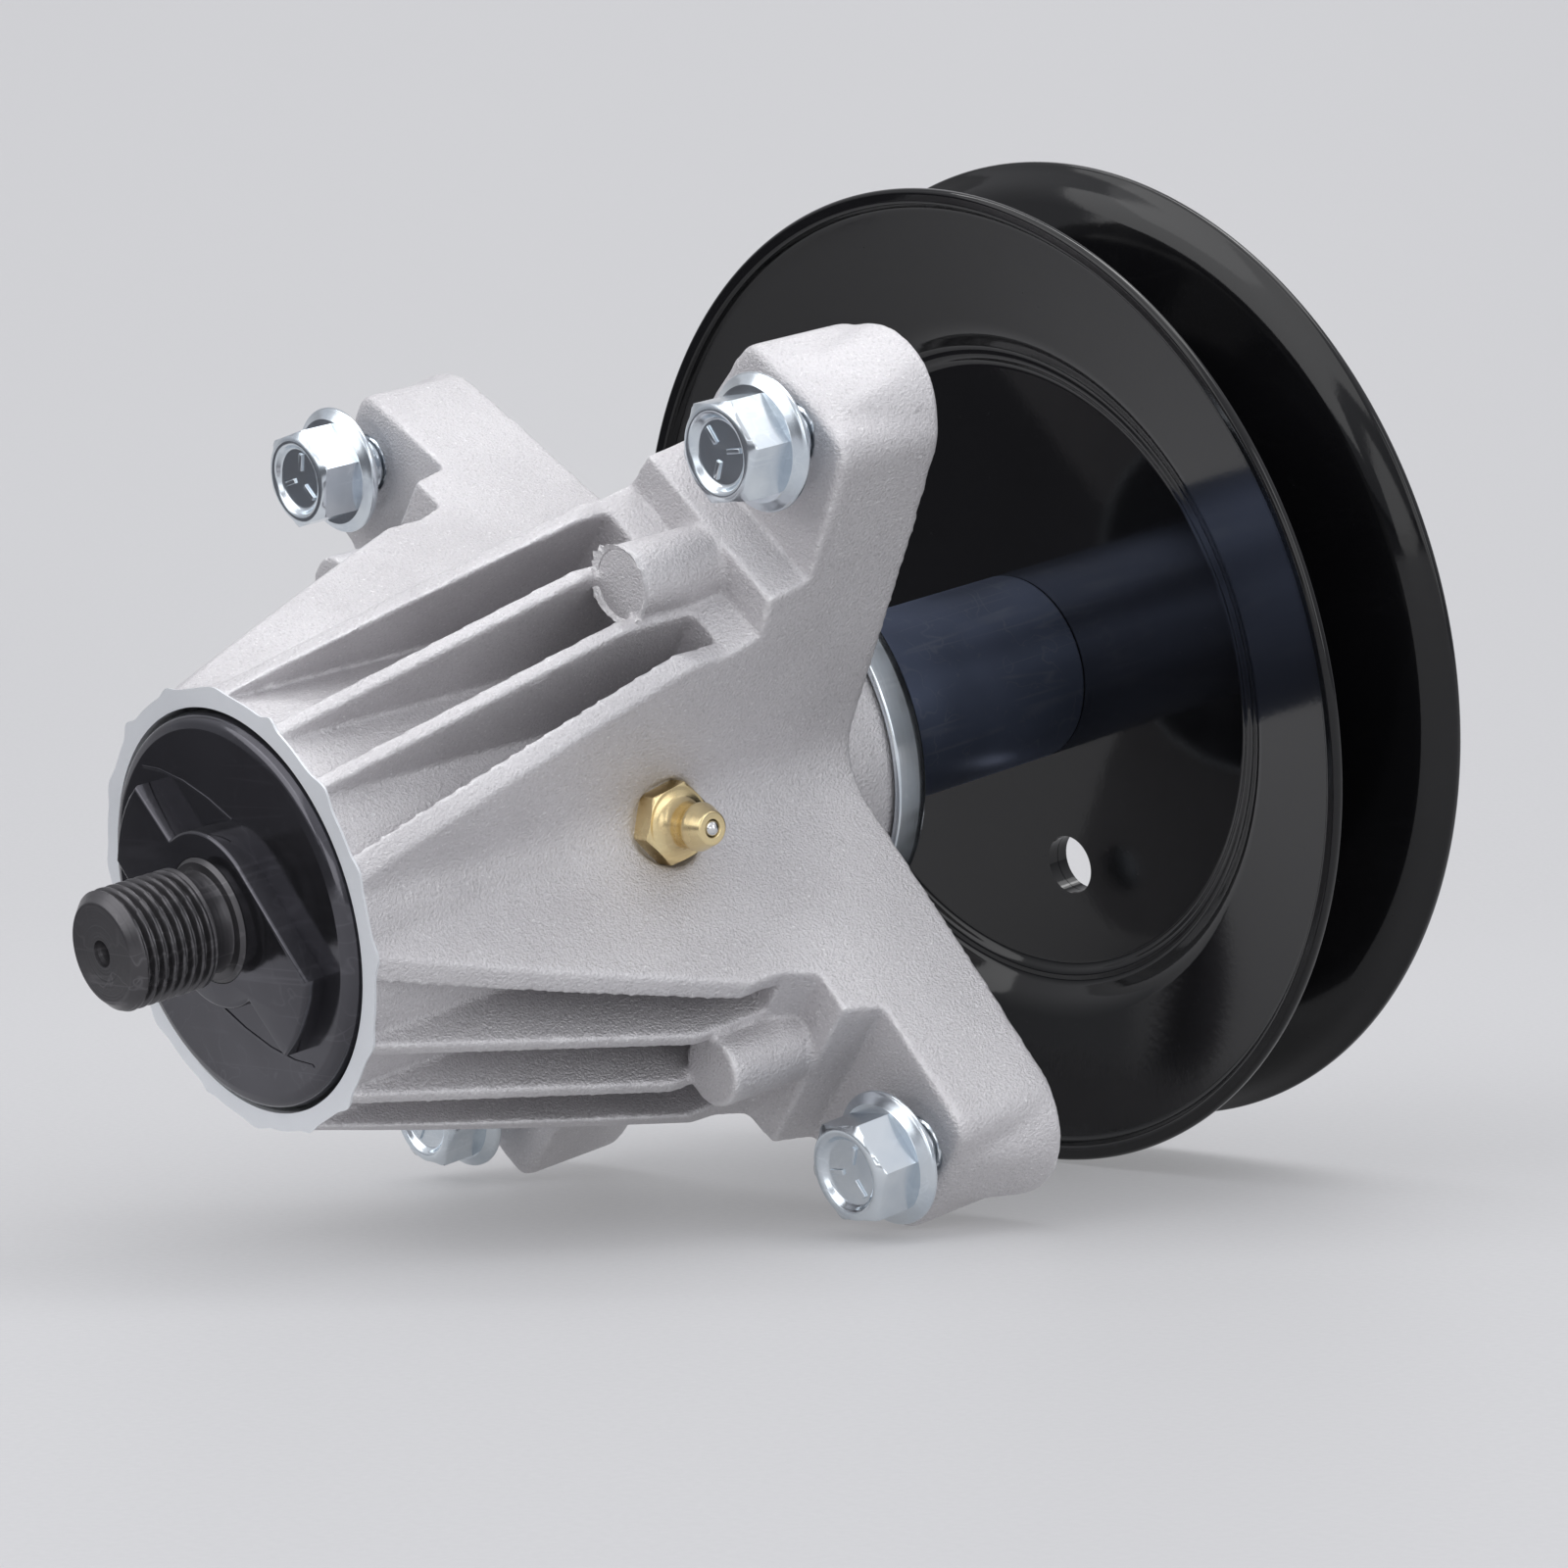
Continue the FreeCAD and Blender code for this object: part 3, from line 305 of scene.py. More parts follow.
# %% Lathe rings: fine circles about the axis, as a turning tool leaves them
rings, given, out = new_group("lathe_rings", [("Rings", 2400.0)], ["Height"])
axes = add(rings, "ShaderNodeSeparateXYZ", {0: local(rings)}).outputs
squares = [math_node(rings, "POWER", axes[k], 2.0) for k in (0, 1)]
radius = math_node(rings, "SQRT", math_node(rings, "ADD", *squares))
line = add(rings, "ShaderNodeCombineXYZ", {0: radius, 1: axes[2]}).outputs[0]
rings.links.new(clouds(rings, line, Scale=given["Rings"], Detail=3.0), out["Height"])


# %% [markdown]
# ## Finishes
# A finish starts from one Principled shader. The helpers below set the plain numbers on the
# shader's own sockets, and mix colour and roughness between two ends by a mask, which is how
# wear, dust and grain all show on metal.

# %% Finish helpers
def finish(name, metallic=0.0, specular=0.5):
    material = bpy.data.materials.new(name)
    material.use_nodes = True
    tree = material.node_tree
    shader = tree.nodes["Principled BSDF"]
    shader.inputs["Metallic"].default_value = metallic
    shader.inputs["Specular IOR Level"].default_value = specular
    print("finish", name)
    return material, tree, shader


def use(tree, group, **inputs):
    """Sets a shared group into a material with the material's own values."""
    made = add(tree, "ShaderNodeGroup", node_tree=group)
    for key, value in inputs.items():
        made.inputs[key].default_value = value
    return made.outputs


def blend(tree, mask, low, high):
    """A colour between two by a mask; either end may itself be a colour socket."""
    mix = add(tree, "ShaderNodeMix", data_type="RGBA")
    tree.links.new(mask, mix.inputs[0])
    for index, value in ((6, low), (7, high)):
        if isinstance(value, bpy.types.NodeSocket):
            tree.links.new(value, mix.inputs[index])
        else:
            mix.inputs[index].default_value = (*value, 1.0)
    return mix.outputs[2]


def bump(tree, shader, *layers):
    """Stacks (height, depth in millimetres, strength) layers into the shader's normal."""
    normal = None
    for height, depth, strength in layers:
        made = add(tree, "ShaderNodeBump",
                   {"Height": height, "Distance": depth * MM, "Strength": strength})
        if normal:
            tree.links.new(normal, made.inputs["Normal"])
        normal = made.outputs[0]
    tree.links.new(normal, shader.inputs["Normal"])


# %% [markdown]
# ## The casting's finish
# The housing is a die casting, tumbled and blasted: pale, matt, with a fine sandy grain and
# shinier corners. The grain is bump from fine noise, the corners come from the rubbed-edge mask,
# the hollows are darkened as painted shade, and a broad noise keeps large faces from looking like
# one flat tone. The end ring is turned bright after casting, so it has faint lathe rings in place
# of the grain, no rubbed corners and no painted shade.

# %% Cast and turned aluminium
def aluminium(name, base, light, rough, grain_depth, sparkle=0.0, turned=0.0, metallic=0.74):
    """Turned is the depth of the lathe rings, and 0 stands for a skin left as cast."""
    material, tree, shader = finish(name, metallic=metallic)
    skin = use(tree, grain, Size=2600.0, Waves=45.0)
    edges_and_shade = use(tree, rubbed_and_shaded, Start=0.51, End=0.575)
    # Only the as-cast skin gets rubbed corners and painted shade in its hollows
    wear_and_shade = 0.0 if turned else 1.0
    dark = tuple(v * 0.62 for v in base)

    # Broad clouds, then painted shade in the hollows, dark pits and pale specks
    toned = blend(tree, spread(tree, skin["Broad"], 0.35, 0.68), base, light)
    # Painted shade: hollows and creases are darkened towards the dark tone
    toned = blend(tree, math_node(tree, "MULTIPLY", edges_and_shade["PaintedShade"], 0.5 * wear_and_shade), toned, dark)
    pits = spread(tree, skin["Fine"], 0.46, 0.34)
    toned = blend(tree, math_node(tree, "MULTIPLY", pits, sparkle * 0.5), toned, dark)
    specks = spread(tree, skin["Fine"], 0.60, 0.72)
    toned = blend(tree, math_node(tree, "MULTIPLY", specks, sparkle), toned, (0.98, 0.98, 0.98))

    # Corners are rubbed bright, but not evenly
    broken = clouds(tree, local(tree), Scale=420.0, Detail=3.0)
    worn = math_node(tree, "MULTIPLY", edges_and_shade["Mask"],
                     spread(tree, broken, 0.42, 0.58, 0.25 * wear_and_shade, 0.9 * wear_and_shade))
    tree.links.new(blend(tree, worn, toned, (0.93, 0.925, 0.93)), shader.inputs["Base Color"])
    mottled = spread(tree, skin["Fine"], 0.3, 0.7, rough - 0.07, rough + 0.08)
    polished = math_node(tree, "MULTIPLY", worn, 0.14)
    tree.links.new(math_node(tree, "SUBTRACT", mottled, polished), shader.inputs["Roughness"])
    layers = [(skin["Fine"], grain_depth, 0.8), (skin["Broad"], 0.25, 0.15)]
    if turned:
        layers.append((use(tree, rings, Rings=2600.0)["Height"], turned, 0.6))
    bump(tree, shader, *layers)
    return material


cast = aluminium("cast_aluminium", (0.62, 0.605, 0.62), (0.71, 0.695, 0.71), rough=0.47,
                 grain_depth=0.36, sparkle=0.7)
turned_ring = aluminium("turned_aluminium", (0.74, 0.76, 0.79), (0.82, 0.84, 0.87), rough=0.50,
                        grain_depth=0.01, turned=0.008, metallic=0.4)


# %% [markdown]
# ## Black finishes
# The pulley is sprayed gloss black over pressed steel: nearly black, a hard clear reflection,
# very slight orange peel and a few dust specks. The driver's coat is a little duller, the shaft
# is oiled black oxide, and the tube is blued by heat, with pale flecks where handling has bared
# the steel.

# %% Black paint, black oxide and the blued tube
def black(name, colour, rough, metallic=0.0, specular=0.5, peel=0.02, rub=0.25, tool=0.0, dust=0.0,
          bare=0.0):
    """Rub is the strength of scratches, tool the depth of lathe rings, bare that of pale flecks."""
    material, tree, shader = finish(name, metallic=metallic, specular=specular)
    skin = use(tree, grain, Size=900.0, Waves=38.0)
    worn = use(tree, scratches, Size=150.0, Amount=rub)["Mask"]
    brighter = tuple(v * 1.5 for v in colour)
    pale = tuple(min(1.0, v * 5 + 0.05) for v in colour)
    toned = blend(tree, spread(tree, skin["Broad"], 0.3, 0.7), colour, brighter)
    toned = blend(tree, math_node(tree, "MULTIPLY", worn, 0.5), toned, pale)
    if bare:
        patches = clouds(tree, local(tree), Scale=520.0, Detail=5.0, Roughness=0.7, Distortion=1.5)
        flecks = math_node(tree, "MULTIPLY", spread(tree, patches, 0.60, 0.68), bare)
        toned = blend(tree, flecks, toned, (0.42, 0.45, 0.52))
    tree.links.new(toned, shader.inputs["Base Color"])
    speckle = math_node(tree, "MULTIPLY", spread(tree, skin["Fine"], 0.68, 0.74), dust)
    uneven = spread(tree, skin["Broad"], 0.3, 0.7, rough * 0.85, rough * 1.15)
    tree.links.new(math_node(tree, "ADD", uneven, speckle), shader.inputs["Roughness"])
    layers = [(skin["Fine"], peel, 0.25), (skin["Broad"], 0.08, 0.06)]
    if tool:
        layers.append((use(tree, rings, Rings=3000.0)["Height"], tool, 0.5))
    bump(tree, shader, *layers)
    return material


paint = black("black_gloss_paint", (0.003, 0.003, 0.0035), 0.08, specular=0.42, dust=0.2, rub=0.05)
driver_black = black("black_driver_coat", (0.075, 0.074, 0.083), 0.13, metallic=0.9, peel=0.03,
                     rub=0.15)
oxide = black("black_oxide", (0.068, 0.066, 0.070), 0.30, metallic=0.75, tool=0.06, rub=0.3)
blued = black("blued_tube", (0.18, 0.215, 0.32), 0.36, metallic=0.95, rub=0.2, tool=0.002,
              bare=0.25)


# %% [markdown]
# ## Bright metals
# Zinc plate is a cool mirror with faint haze, brass is warm and freshly cut, and bearing steel is
# ground. They share one recipe: a metallic shader with lathe rings and slightly uneven roughness.

# %% Zinc, brass and steel
def bright(name, colour, deep, rough, tool=0.01, haze=0.06):
    """Tool is the depth of grain and lathe rings, and haze is how far the roughness wanders."""
    material, tree, shader = finish(name, metallic=1.0)
    skin = use(tree, grain, Size=1500.0, Waves=160.0)
    worn = use(tree, scratches, Size=260.0, Amount=0.4)["Mask"]
    toned = blend(tree, spread(tree, skin["Broad"], 0.35, 0.65), colour, deep)
    pale = tuple(min(1, v * 1.15) for v in colour)
    tree.links.new(blend(tree, worn, toned, pale), shader.inputs["Base Color"])
    tree.links.new(spread(tree, skin["Broad"], 0.3, 0.7, rough - haze, rough + haze),
                   shader.inputs["Roughness"])
    bump(tree, shader, (skin["Fine"], tool, 0.2),
         (use(tree, rings, Rings=2200.0)["Height"], tool, 0.4))
    return material


zinc = bright("clear_zinc", (0.74, 0.79, 0.83), (0.62, 0.68, 0.74), 0.20, tool=0.004)
brass = bright("bright_brass", (0.80, 0.66, 0.38), (0.72, 0.56, 0.30), 0.26, tool=0.03)
steel = bright("ground_steel", (0.70, 0.70, 0.70), (0.60, 0.60, 0.61), 0.22)
plain_steel = bright("turned_steel", (0.42, 0.42, 0.43), (0.34, 0.34, 0.35), 0.34)


# %% Rubber, and the paper and carpet of the studio
def matt(name, low, high, roughness, relief, size, waves, specular, clouded="Broad"):
    """A matt skin; clouded names the grain that mixes the colours, and the other one roughens."""
    material, tree, shader = finish(name, specular=specular)
    skin = use(tree, grain, Size=size, Waves=waves)
    other = "Fine" if clouded == "Broad" else "Broad"
    tree.links.new(blend(tree, skin[clouded], low, high), shader.inputs["Base Color"])
    tree.links.new(spread(tree, skin[other], 0.3, 0.7, *roughness), shader.inputs["Roughness"])
    bump(tree, shader, (skin["Fine"], *relief))
    return material, shader


rubber, _ = matt("seal_rubber", (0.012, 0.012, 0.012), (0.03, 0.03, 0.03), (0.6, 0.8),
                 relief=(0.03, 0.4), size=1800.0, waves=80.0, specular=0.3)

# %% [markdown]
# ## The cast housing
# A die casting has no knife edges: every corner is rounded by the mould's wear and by tumbling.
# The frame's solid has the true ribs, pockets and ears but sharp corners, so it is wrapped in a
# fine voxel skin and relaxed a little, which rounds all corners at once. Bevels on such a mesh
# would tear where the ribs run out into the barrel. The voxels stand aslant to the casting, since
# an edge that runs nearly along their rows would come out in steps. The ends of the ears are
# rounder than the rest, so they are relaxed further, each time from a little further out, so that
# no step shows where it begins. The fine skin is then thinned out where it is flat.

# %% Which points are relaxed further
EAR_TIP, BOLT_SEAT = 69.5, 9.3


def ear_end(x, y, start):
    """The outer end of an ear past a reach, apart from the seat of its bolt."""
    reach = (abs(x) + abs(y)) / math.sqrt(2)
    aside = (abs(x) - abs(y)) / math.sqrt(2)
    off_seat = math.hypot(reach - BOLT_CIRCLE, aside) > BOLT_SEAT
    return reach > EAR_TIP or (reach > start and off_seat)


def soften(mesh, chosen, passes):
    """Relaxes only the points that chosen(x, y, z) picks, in millimetres."""
    work = bmesh.new()
    work.from_mesh(mesh)
    picked = [v for v in work.verts if chosen(*(v.co / MM))]
    for _ in range(passes):
        bmesh.ops.smooth_vert(work, verts=picked, factor=0.5, use_axis_x=True, use_axis_y=True,
                              use_axis_z=True)
    work.to_mesh(mesh)
    work.free()
    print("softened", len(picked), "of", len(mesh.vertices), "points")


# %% Wrap, relax and thin out the housing
def skinned(source, voxel, passes, keep):
    """A rounded skin round a solid: voxel is its fineness and keep the share of faces left."""
    blank = linked("skin_blank", source.data.copy())
    aslant = Euler((0.6, 0.45, 0.9)).to_matrix().to_4x4()
    blank.data.transform(aslant @ lie.inverted())
    blank.data.materials.clear()
    wrap = blank.modifiers.new("wrap", "REMESH")
    wrap.mode = "VOXEL"
    wrap.voxel_size = voxel * MM
    relax = blank.modifiers.new("relax", "SMOOTH")
    relax.factor = 0.5
    relax.iterations = passes
    skin = shaped(blank)
    skin.transform(aslant.inverted())
    for start in (58, 63, 68):
        soften(skin, lambda x, y, z: ear_end(x, y, start), 13)
    blank.modifiers.clear()
    blank.data = skin
    thin = blank.modifiers.new("thin", "DECIMATE")
    thin.ratio = keep
    done = shaped(blank)
    bpy.data.objects.remove(blank)
    return done


housing_mesh = skinned(nodes["spindle_housing"], voxel=0.34, passes=17, keep=0.11)
smooth(housing_mesh, 60)
place("housing_casting", housing_mesh, "housing", "spindle_housing", slot="cast_aluminium")
housing_mesh.materials.append(cast)
housing_mesh.materials.append(turned_ring)

# %% The end ring's face and the bore behind it are turned
BORE_REACH, BORE_DEPTH = 27.4, 45
for face in housing_mesh.polygons:
    centre = face.center / MM
    on_ring = centre.z < RING + 0.35 and face.normal.z < -0.8
    in_bore = math.hypot(centre.x, centre.y) < BORE_REACH and centre.z < BORE_DEPTH
    if on_ring or in_bore:
        face.material_index = 1
print("turned faces", sum(face.material_index for face in housing_mesh.polygons))


# %% [markdown]
# ## Ragged flash on one core-pin boss
# Metal crept round the core pin when this housing was cast, and a torn collar of it is still
# there on the upper boss. It is a thin ring whose width jumps about, drawn once and laid on the
# boss's rim.

# %% Torn collar
def torn_collar(reach, angle, face_height, steps=72):
    """Inner, outer and under edges of the collar; the torn part is wider on one side."""
    dice = random.Random(7)
    work = bmesh.new()
    inner, outer, under = [], [], []
    for k in range(steps):
        turn = 2 * math.pi * k / steps
        bite = 0.5 + 0.5 * math.sin(turn * 2 + 0.6) if 0.9 < turn < 5.6 else 0.12
        width = 0.18 + bite * (0.2 + 0.9 * dice.random() ** 1.5)
        lift = 0.25 * dice.random()
        inner.append(work.verts.new(at(4.55, turn, -0.02)))
        outer.append(work.verts.new(at(4.95 + width, turn, -0.30 - lift)))
        under.append(work.verts.new(at(4.8, turn, 0.9)))
    for low, high in ((inner, outer), (outer, under), (under, inner)):
        band(work, low, high)
    turned_outwards(work)
    mesh = ended(work, "boss_flash", None)
    mesh.materials.append(cast)
    place("boss_flash", mesh, "housing", slot="cast_aluminium",
          matrix=Matrix.Translation(at(reach, angle, face_height)))


torn_collar(45.5, math.radians(-45), 65.8)


# %% [markdown]
# ## Thin flash round the end ring
# The mould's halves met at the end ring, and a thin uneven skin of metal stands out round it,
# longer where each rib and wall runs into the ring. The ring's own face was turned bright
# afterwards.

# %% Flash of the end ring
def ring_flash(steps=540):
    """A thin rim whose reach wanders, with a tongue at each of the four ribs and walls a side."""
    dice = random.Random(21)
    work = bmesh.new()
    tongues = [(45 + 90 * arm + side + 3 * dice.random(), 0.5 + 0.6 * dice.random(),
                2.0 + 2.5 * dice.random())
               for arm in range(4) for side in (-36, -13, 9, 31)]
    heights = (21.2, 20.38, 20.42, 20.8, 21.4)
    rows = [[] for _ in heights]
    for k in range(steps):
        angle = 360 * k / steps
        turn = math.radians(angle)
        waver = noise.noise(Vector((6 * math.cos(turn), 6 * math.sin(turn), 3.0)))
        fine = noise.noise(Vector((40 * math.cos(turn), 40 * math.sin(turn), 9.0)))
        reach = 29.15 + 0.22 * waver + 0.015 * fine
        for middle, length, width in tongues:
            away = abs((angle - middle + 180) % 360 - 180)
            reach += length * math.exp(-(away / width) ** 2)
        for row, r, h in zip(rows, (26.7, 26.75, reach, reach - 0.1, 28.0), heights):
            row.append(work.verts.new(at(r, turn, h)))
    for low, high in zip(rows, rows[1:] + rows[:1]):
        band(work, low, high)
    turned_outwards(work)
    mesh = ended(work, "ring_flash")
    mesh.materials.append(turned_ring)
    place("ring_flash", mesh, "housing", slot="cast_aluminium")


ring_flash()

# %% [markdown]
# ## The shaft and its thread
# A thread is a ridge that climbs one pitch a turn. On a lathe grid it is enough to push each
# point in or out by where it stands in the pitch, and to fade the ridge out where the thread
# begins and ends. This gives real grooves in the outline, which a bump map would not.

# %% Thread helpers
PITCH = 1.4111


def thread(crest, depth, start, end):
    """How far the thread cuts in at a height and angle: flat crests, rounded roots."""
    def carve(radius, height, angle):
        if not start - 1.0 < height < end + 0.8 or radius < crest - 1.9:
            return radius
        phase = (height / PITCH - angle / (2 * math.pi)) % 1.0
        groove = min(1.0, max(0.0, 1.25 - abs(phase - 0.5) * 2.9))
        fade = min(1.0, max(0.0, (height - start) / 0.9)) * min(1.0, max(0.0, (end - height) / 0.7))
        return min(radius, crest - depth * groove * groove * (3 - 2 * groove) * fade)
    return carve


def threaded_run(start, end, step):
    """Close rings along a thread of the shaft, for the grooves to be cut into."""
    count = int((end - start) / step)
    return [(SHAFT_THREAD, start + (end - start) * k / count) for k in range(count + 1)]


# %% Threaded shaft
low_thread = thread(SHAFT_THREAD, 0.86, 0.9, 11.9)
high_thread = thread(SHAFT_THREAD, 0.86, 164.0, 179.6)
profile = [(0, 4.6), (0.75, 4.3), (0.8, 2.0), (1.6, 0.75), (1.75, 0.0), (1.9, 0.0), (2.1, 0.0),
           (6.35, 0.0), (6.5, 0.0), (6.62, 0.04), (6.75, 0.14), (7.7, 1.09), (7.85, 1.2)]
profile += threaded_run(1.35, 12.0, 0.105)
profile += [(7.2, 12.35), (6.7, 12.6), (6.6, 13.0), (6.6, 14.9), (6.75, 15.3), (7.2, 15.4),
            (7.75, 15.45), (8.25, 16.0), (8.3, 27.0), (SHAFT_SEAT, 27.0), (SHAFT_SEAT, 159.0),
            (8.5, 159.0), (8.5, 162.6)]
profile += threaded_run(162.7, 179.4, 0.14)
profile += [(6.8, 180.4), (6.6, SHAFT_TOP), (1.9, SHAFT_TOP), (1.6, 179.7), (0.8, 178.6),
            (0, 178.4)]
shaft_mesh = lathe("shaft", profile, 128,
                   wobble=lambda r, h, a: low_thread(r, h, a) if h < 20 else high_thread(r, h, a))
shaft_mesh.materials.append(oxide)
place("threaded_shaft", shaft_mesh, "spindle", "spindle_shaft", slot="black_oxide")


# %% [markdown]
# ## The blade driver
# A black disc closes the end of the housing, and a raised plateau with two slanted lobes drives
# the blade. The plateau's outline is one closed line: an arc round the hub, out along a lobe,
# round its end and back, then the same again turned half round. It is raised and its upper edge
# is bevelled.

# %% Outline and raising
def arc(radius, start, end, count):
    angles = [math.radians(start + (end - start) * k / count) for k in range(count + 1)]
    return [(radius * math.cos(a), radius * math.sin(a)) for a in angles]


def plateau_outline():
    """One lobe and half of the hub, then both again from the other side."""
    half = arc(11.7, -35.5, 144.5, 1)[:1] + [(19.5, 7.2)]
    half += arc(20.7, 22.5, 55.0, 6)[1:-1] + [(11.2, 17.3), (5.6, 10.4)]
    half += arc(11.7, 61.7, 144.5, 24)[1:-1]
    return half + [(-x, -y) for x, y in half]


def raised(outline, foot, top, round_over, name):
    """A flat outline raised from foot to top, with its upper edge rounded over."""
    work = bmesh.new()
    low = [work.verts.new((x * MM, y * MM, foot * MM)) for x, y in outline]
    high = [work.verts.new((x * MM, y * MM, top * MM)) for x, y in outline]
    for k in range(len(outline)):
        n = (k + 1) % len(outline)
        work.faces.new((low[k], low[n], high[n], high[k]))
    cap = work.faces.new(high)
    work.faces.new(list(reversed(low)))
    turned_outwards(work)
    bmesh.ops.bevel(work, geom=list(cap.edges), offset=round_over * MM, segments=3, affect="EDGES",
                    profile=0.5)
    return ended(work, name, 45)


# %% Disc and plateau
disc = eased([(DRIVER_BORE, 16.2, 0), (DRIVER_BORE, DISC), (24.2, DISC, 0.15), (25.6, 19.35, 1.4),
              (26.2, 20.9, 1.4), (26.2, 24.0), (13.5, 24.0), (13.5, 27.0), (DRIVER_BORE, 27.0)],
             0.5, 5)
disc_mesh = lathe("driver_disc", disc, 192, closed=True)
disc_mesh.materials.append(driver_black)
place("driver_disc", disc_mesh, "spindle", "blade_driver", slot="driver_black")
bore = lathe("driver_bore", [(0, 10.0), (8.33, 10.0), (8.33, 22.0), (0, 22.0)], 96)
plateau_mesh = cut(raised(plateau_outline(), 19.6, PLATEAU, 0.45, "plateau"), bore, "plateau")
plateau_mesh.materials.append(driver_black)
place("driver_plateau", plateau_mesh, "spindle", slot="driver_black")

# %% Two fine moulded lines on the disc
near_line = [(-5.4, 12.4), (-1.0, 15.0), (4.0, 17.2), (9.0, 18.6), (12.8, 19.0)]
far_line = [(x * 1.022, y * 1.022) for x, y in reversed(near_line)]
for turn in (0.0, math.pi):
    ridge = raised(near_line + far_line, 19.3, 18.86, 0.05, "disc_line")
    ridge.materials.append(driver_black)
    place("disc_line_%d" % round(turn), ridge, "spindle", slot="driver_black",
          matrix=Matrix.Rotation(turn, 4, "Z"))

# %% [markdown]
# ## Dust shield and spacer tube
# The shield is pressed from thin zinc-plated sheet: a cup over the upper bearing, rolled at its
# free edge. The tube that holds the pulley off it is heat-blued steel.

# %% Shield and tube
shield = eased([(SLIP_BORE, 114.0, 0), (16.0, 114.0), (18.5, 115.1), (26.5, 115.1, 1.2),
                (26.5, 110.6), (26.35, 110.2), (26.8, 110.0), (27.4, 110.2),
                (27.4, SHIELD_TOP, 2.0), (18.5, SHIELD_TOP), (16.0, SHIELD_SEAT),
                (SLIP_BORE, SHIELD_SEAT)], 0.35, 5)
shield_mesh = lathe("shield", shield, 192, closed=True)
shield_mesh.materials.append(zinc)
place("pressed_shield", shield_mesh, "spindle", "dust_shield", slot="zinc")

tube = eased([(SLIP_BORE, SHIELD_SEAT, 0), (13.7, SHIELD_SEAT), (13.7, WEB), (SLIP_BORE, WEB)],
             0.25, 3)
tube_mesh = lathe("tube", tube, 128, closed=True)
tube_mesh.materials.append(blued)
place("blued_spacer", tube_mesh, "spindle", "pulley_spacer", slot="blued_steel")


# %% [markdown]
# ## The pressed pulley
# Two steel discs are pressed into dishes and welded back to back, which leaves a V for the belt.
# A pressing keeps its sheet thickness, and its bends are soft, so the profile is drawn once with
# its own radius at each bend, and the second half is the same pressing turned round. The hole
# goes through both.

# %% Two pulley halves with one hole
def pressing(face, sign):
    """Section of one pressed half: the outer skin outwards, then the belt side back."""
    outer = [(8.6, 0, 0), (45.2, 0, 0.8), (46.2, 0.85, 0.5), (47.6, 1.0, 0.5), (50.4, 3.6, 2.0),
             (69.2, 9.3, 0.6), (69.9, 10.9, 0.5), (71.6, 11.1, 0.35)]
    inner = [(72.0, 10.6, 0.3), (72.0, 9.8, 0.3), (71.0, 9.1, 1.0), (68.4, 7.0, 3.4),
             (51.4, 1.9, 2.2), (48.4, -0.85, 1.2), (46.6, -1.0, 0.8), (45.0, -1.75, 0.8),
             (8.6, -1.75, 0)]
    return [(r, face - sign * rise, ease) for r, rise, ease in outer + inner]


for label, face, sign in (("front", WEB, 1), ("rear", WEB_BACK, -1)):
    drill = lathe("web_hole", [(0, 150.0), (4.35, 150.0), (4.35, 175.0), (0, 175.0)], 48)
    drill.transform(Matrix.Translation((3.9 * MM, 29.8 * MM, 0)))
    section = eased(pressing(face, sign), 0.5, 5)
    half = cut(lathe(label, section, 288, closed=True), drill, label)
    half.materials.append(paint)
    place("pulley_%s_pressing" % label, half, "spindle", "pulley_%s_half" % label,
          slot="black_lacquer")


# %% [markdown]
# ## Bolts, nut and grease fitting
# Hex heads come from the same lathe with the radius held to the flats. A bolt's head is dished,
# with three short strength marks. The bolts are only started in their holes, so their shanks
# show.

# %% Bolt helpers
def join(name, meshes):
    work = bmesh.new()
    for mesh in meshes:
        work.from_mesh(mesh)
    return ended(work, name)


def bar(length, width, height, reach, turn):
    """A short raised mark that points at the centre."""
    outline = [(reach, -width / 2), (reach + length, -width / 2), (reach + length, width / 2),
               (reach, width / 2)]
    mesh = raised(outline, height - 0.3, height + 0.32, 0.12, "mark")
    mesh.transform(Matrix.Rotation(turn, 4, "Z"))
    return mesh


# %% One flange bolt: dished head, flange and threaded shank
head = eased([(0, 7.0, 0), (4.4, 7.0, 0.35), (5.05, 7.85, 0.2), (5.5, 8.0, 0.15), (6.0, 7.9, 0.2),
              (7.45, 7.1), (7.45, 2.1), (7.55, 1.85), (8.4, 1.2), (9.0, 0.85), (9.0, 0.25),
              (8.8, 0.0), (4.1, 0.0), (BOLT_THREAD, -0.2)], 0.3, 4)
shank = [(BOLT_THREAD, -2.0 - 0.2 * k) for k in range(85)] + [(3.4, -19.0), (0, -19.0)]
shank_thread = thread(BOLT_THREAD, 0.42, -30.0, 0.2)
bolt_parts = [lathe("bolt", head + shank, 96, flats=12.7, hexed=(1.9, 8.1),
                    wobble=lambda r, h, a: shank_thread(r, h, a) if h < -1.6 and r > 3.9 else r)]
bolt_parts += [bar(2.5, 0.7, 7.0, 1.3, math.radians(90 + 120 * k)) for k in range(3)]
one_bolt = join("flange_bolt", bolt_parts)

# %% Four bolts, each turned as it was left
UNDER_HEAD = 80.8
four = []
for number, turn in enumerate((27.0, -20.0, 21.0, -30.0)):
    spot = Matrix.Translation(at(BOLT_CIRCLE, math.radians(45 + 90 * number), UNDER_HEAD))
    flipped = Matrix.Rotation(math.pi, 4, "X")
    copy = one_bolt.copy()
    copy.transform(spot @ Matrix.Rotation(math.radians(turn), 4, "Z") @ flipped)
    four.append(copy)
bolts_mesh = join("bolts", four)
bolts_mesh.materials.append(zinc)
place("flange_bolts", bolts_mesh, "housing", "mounting_bolts", slot="zinc")

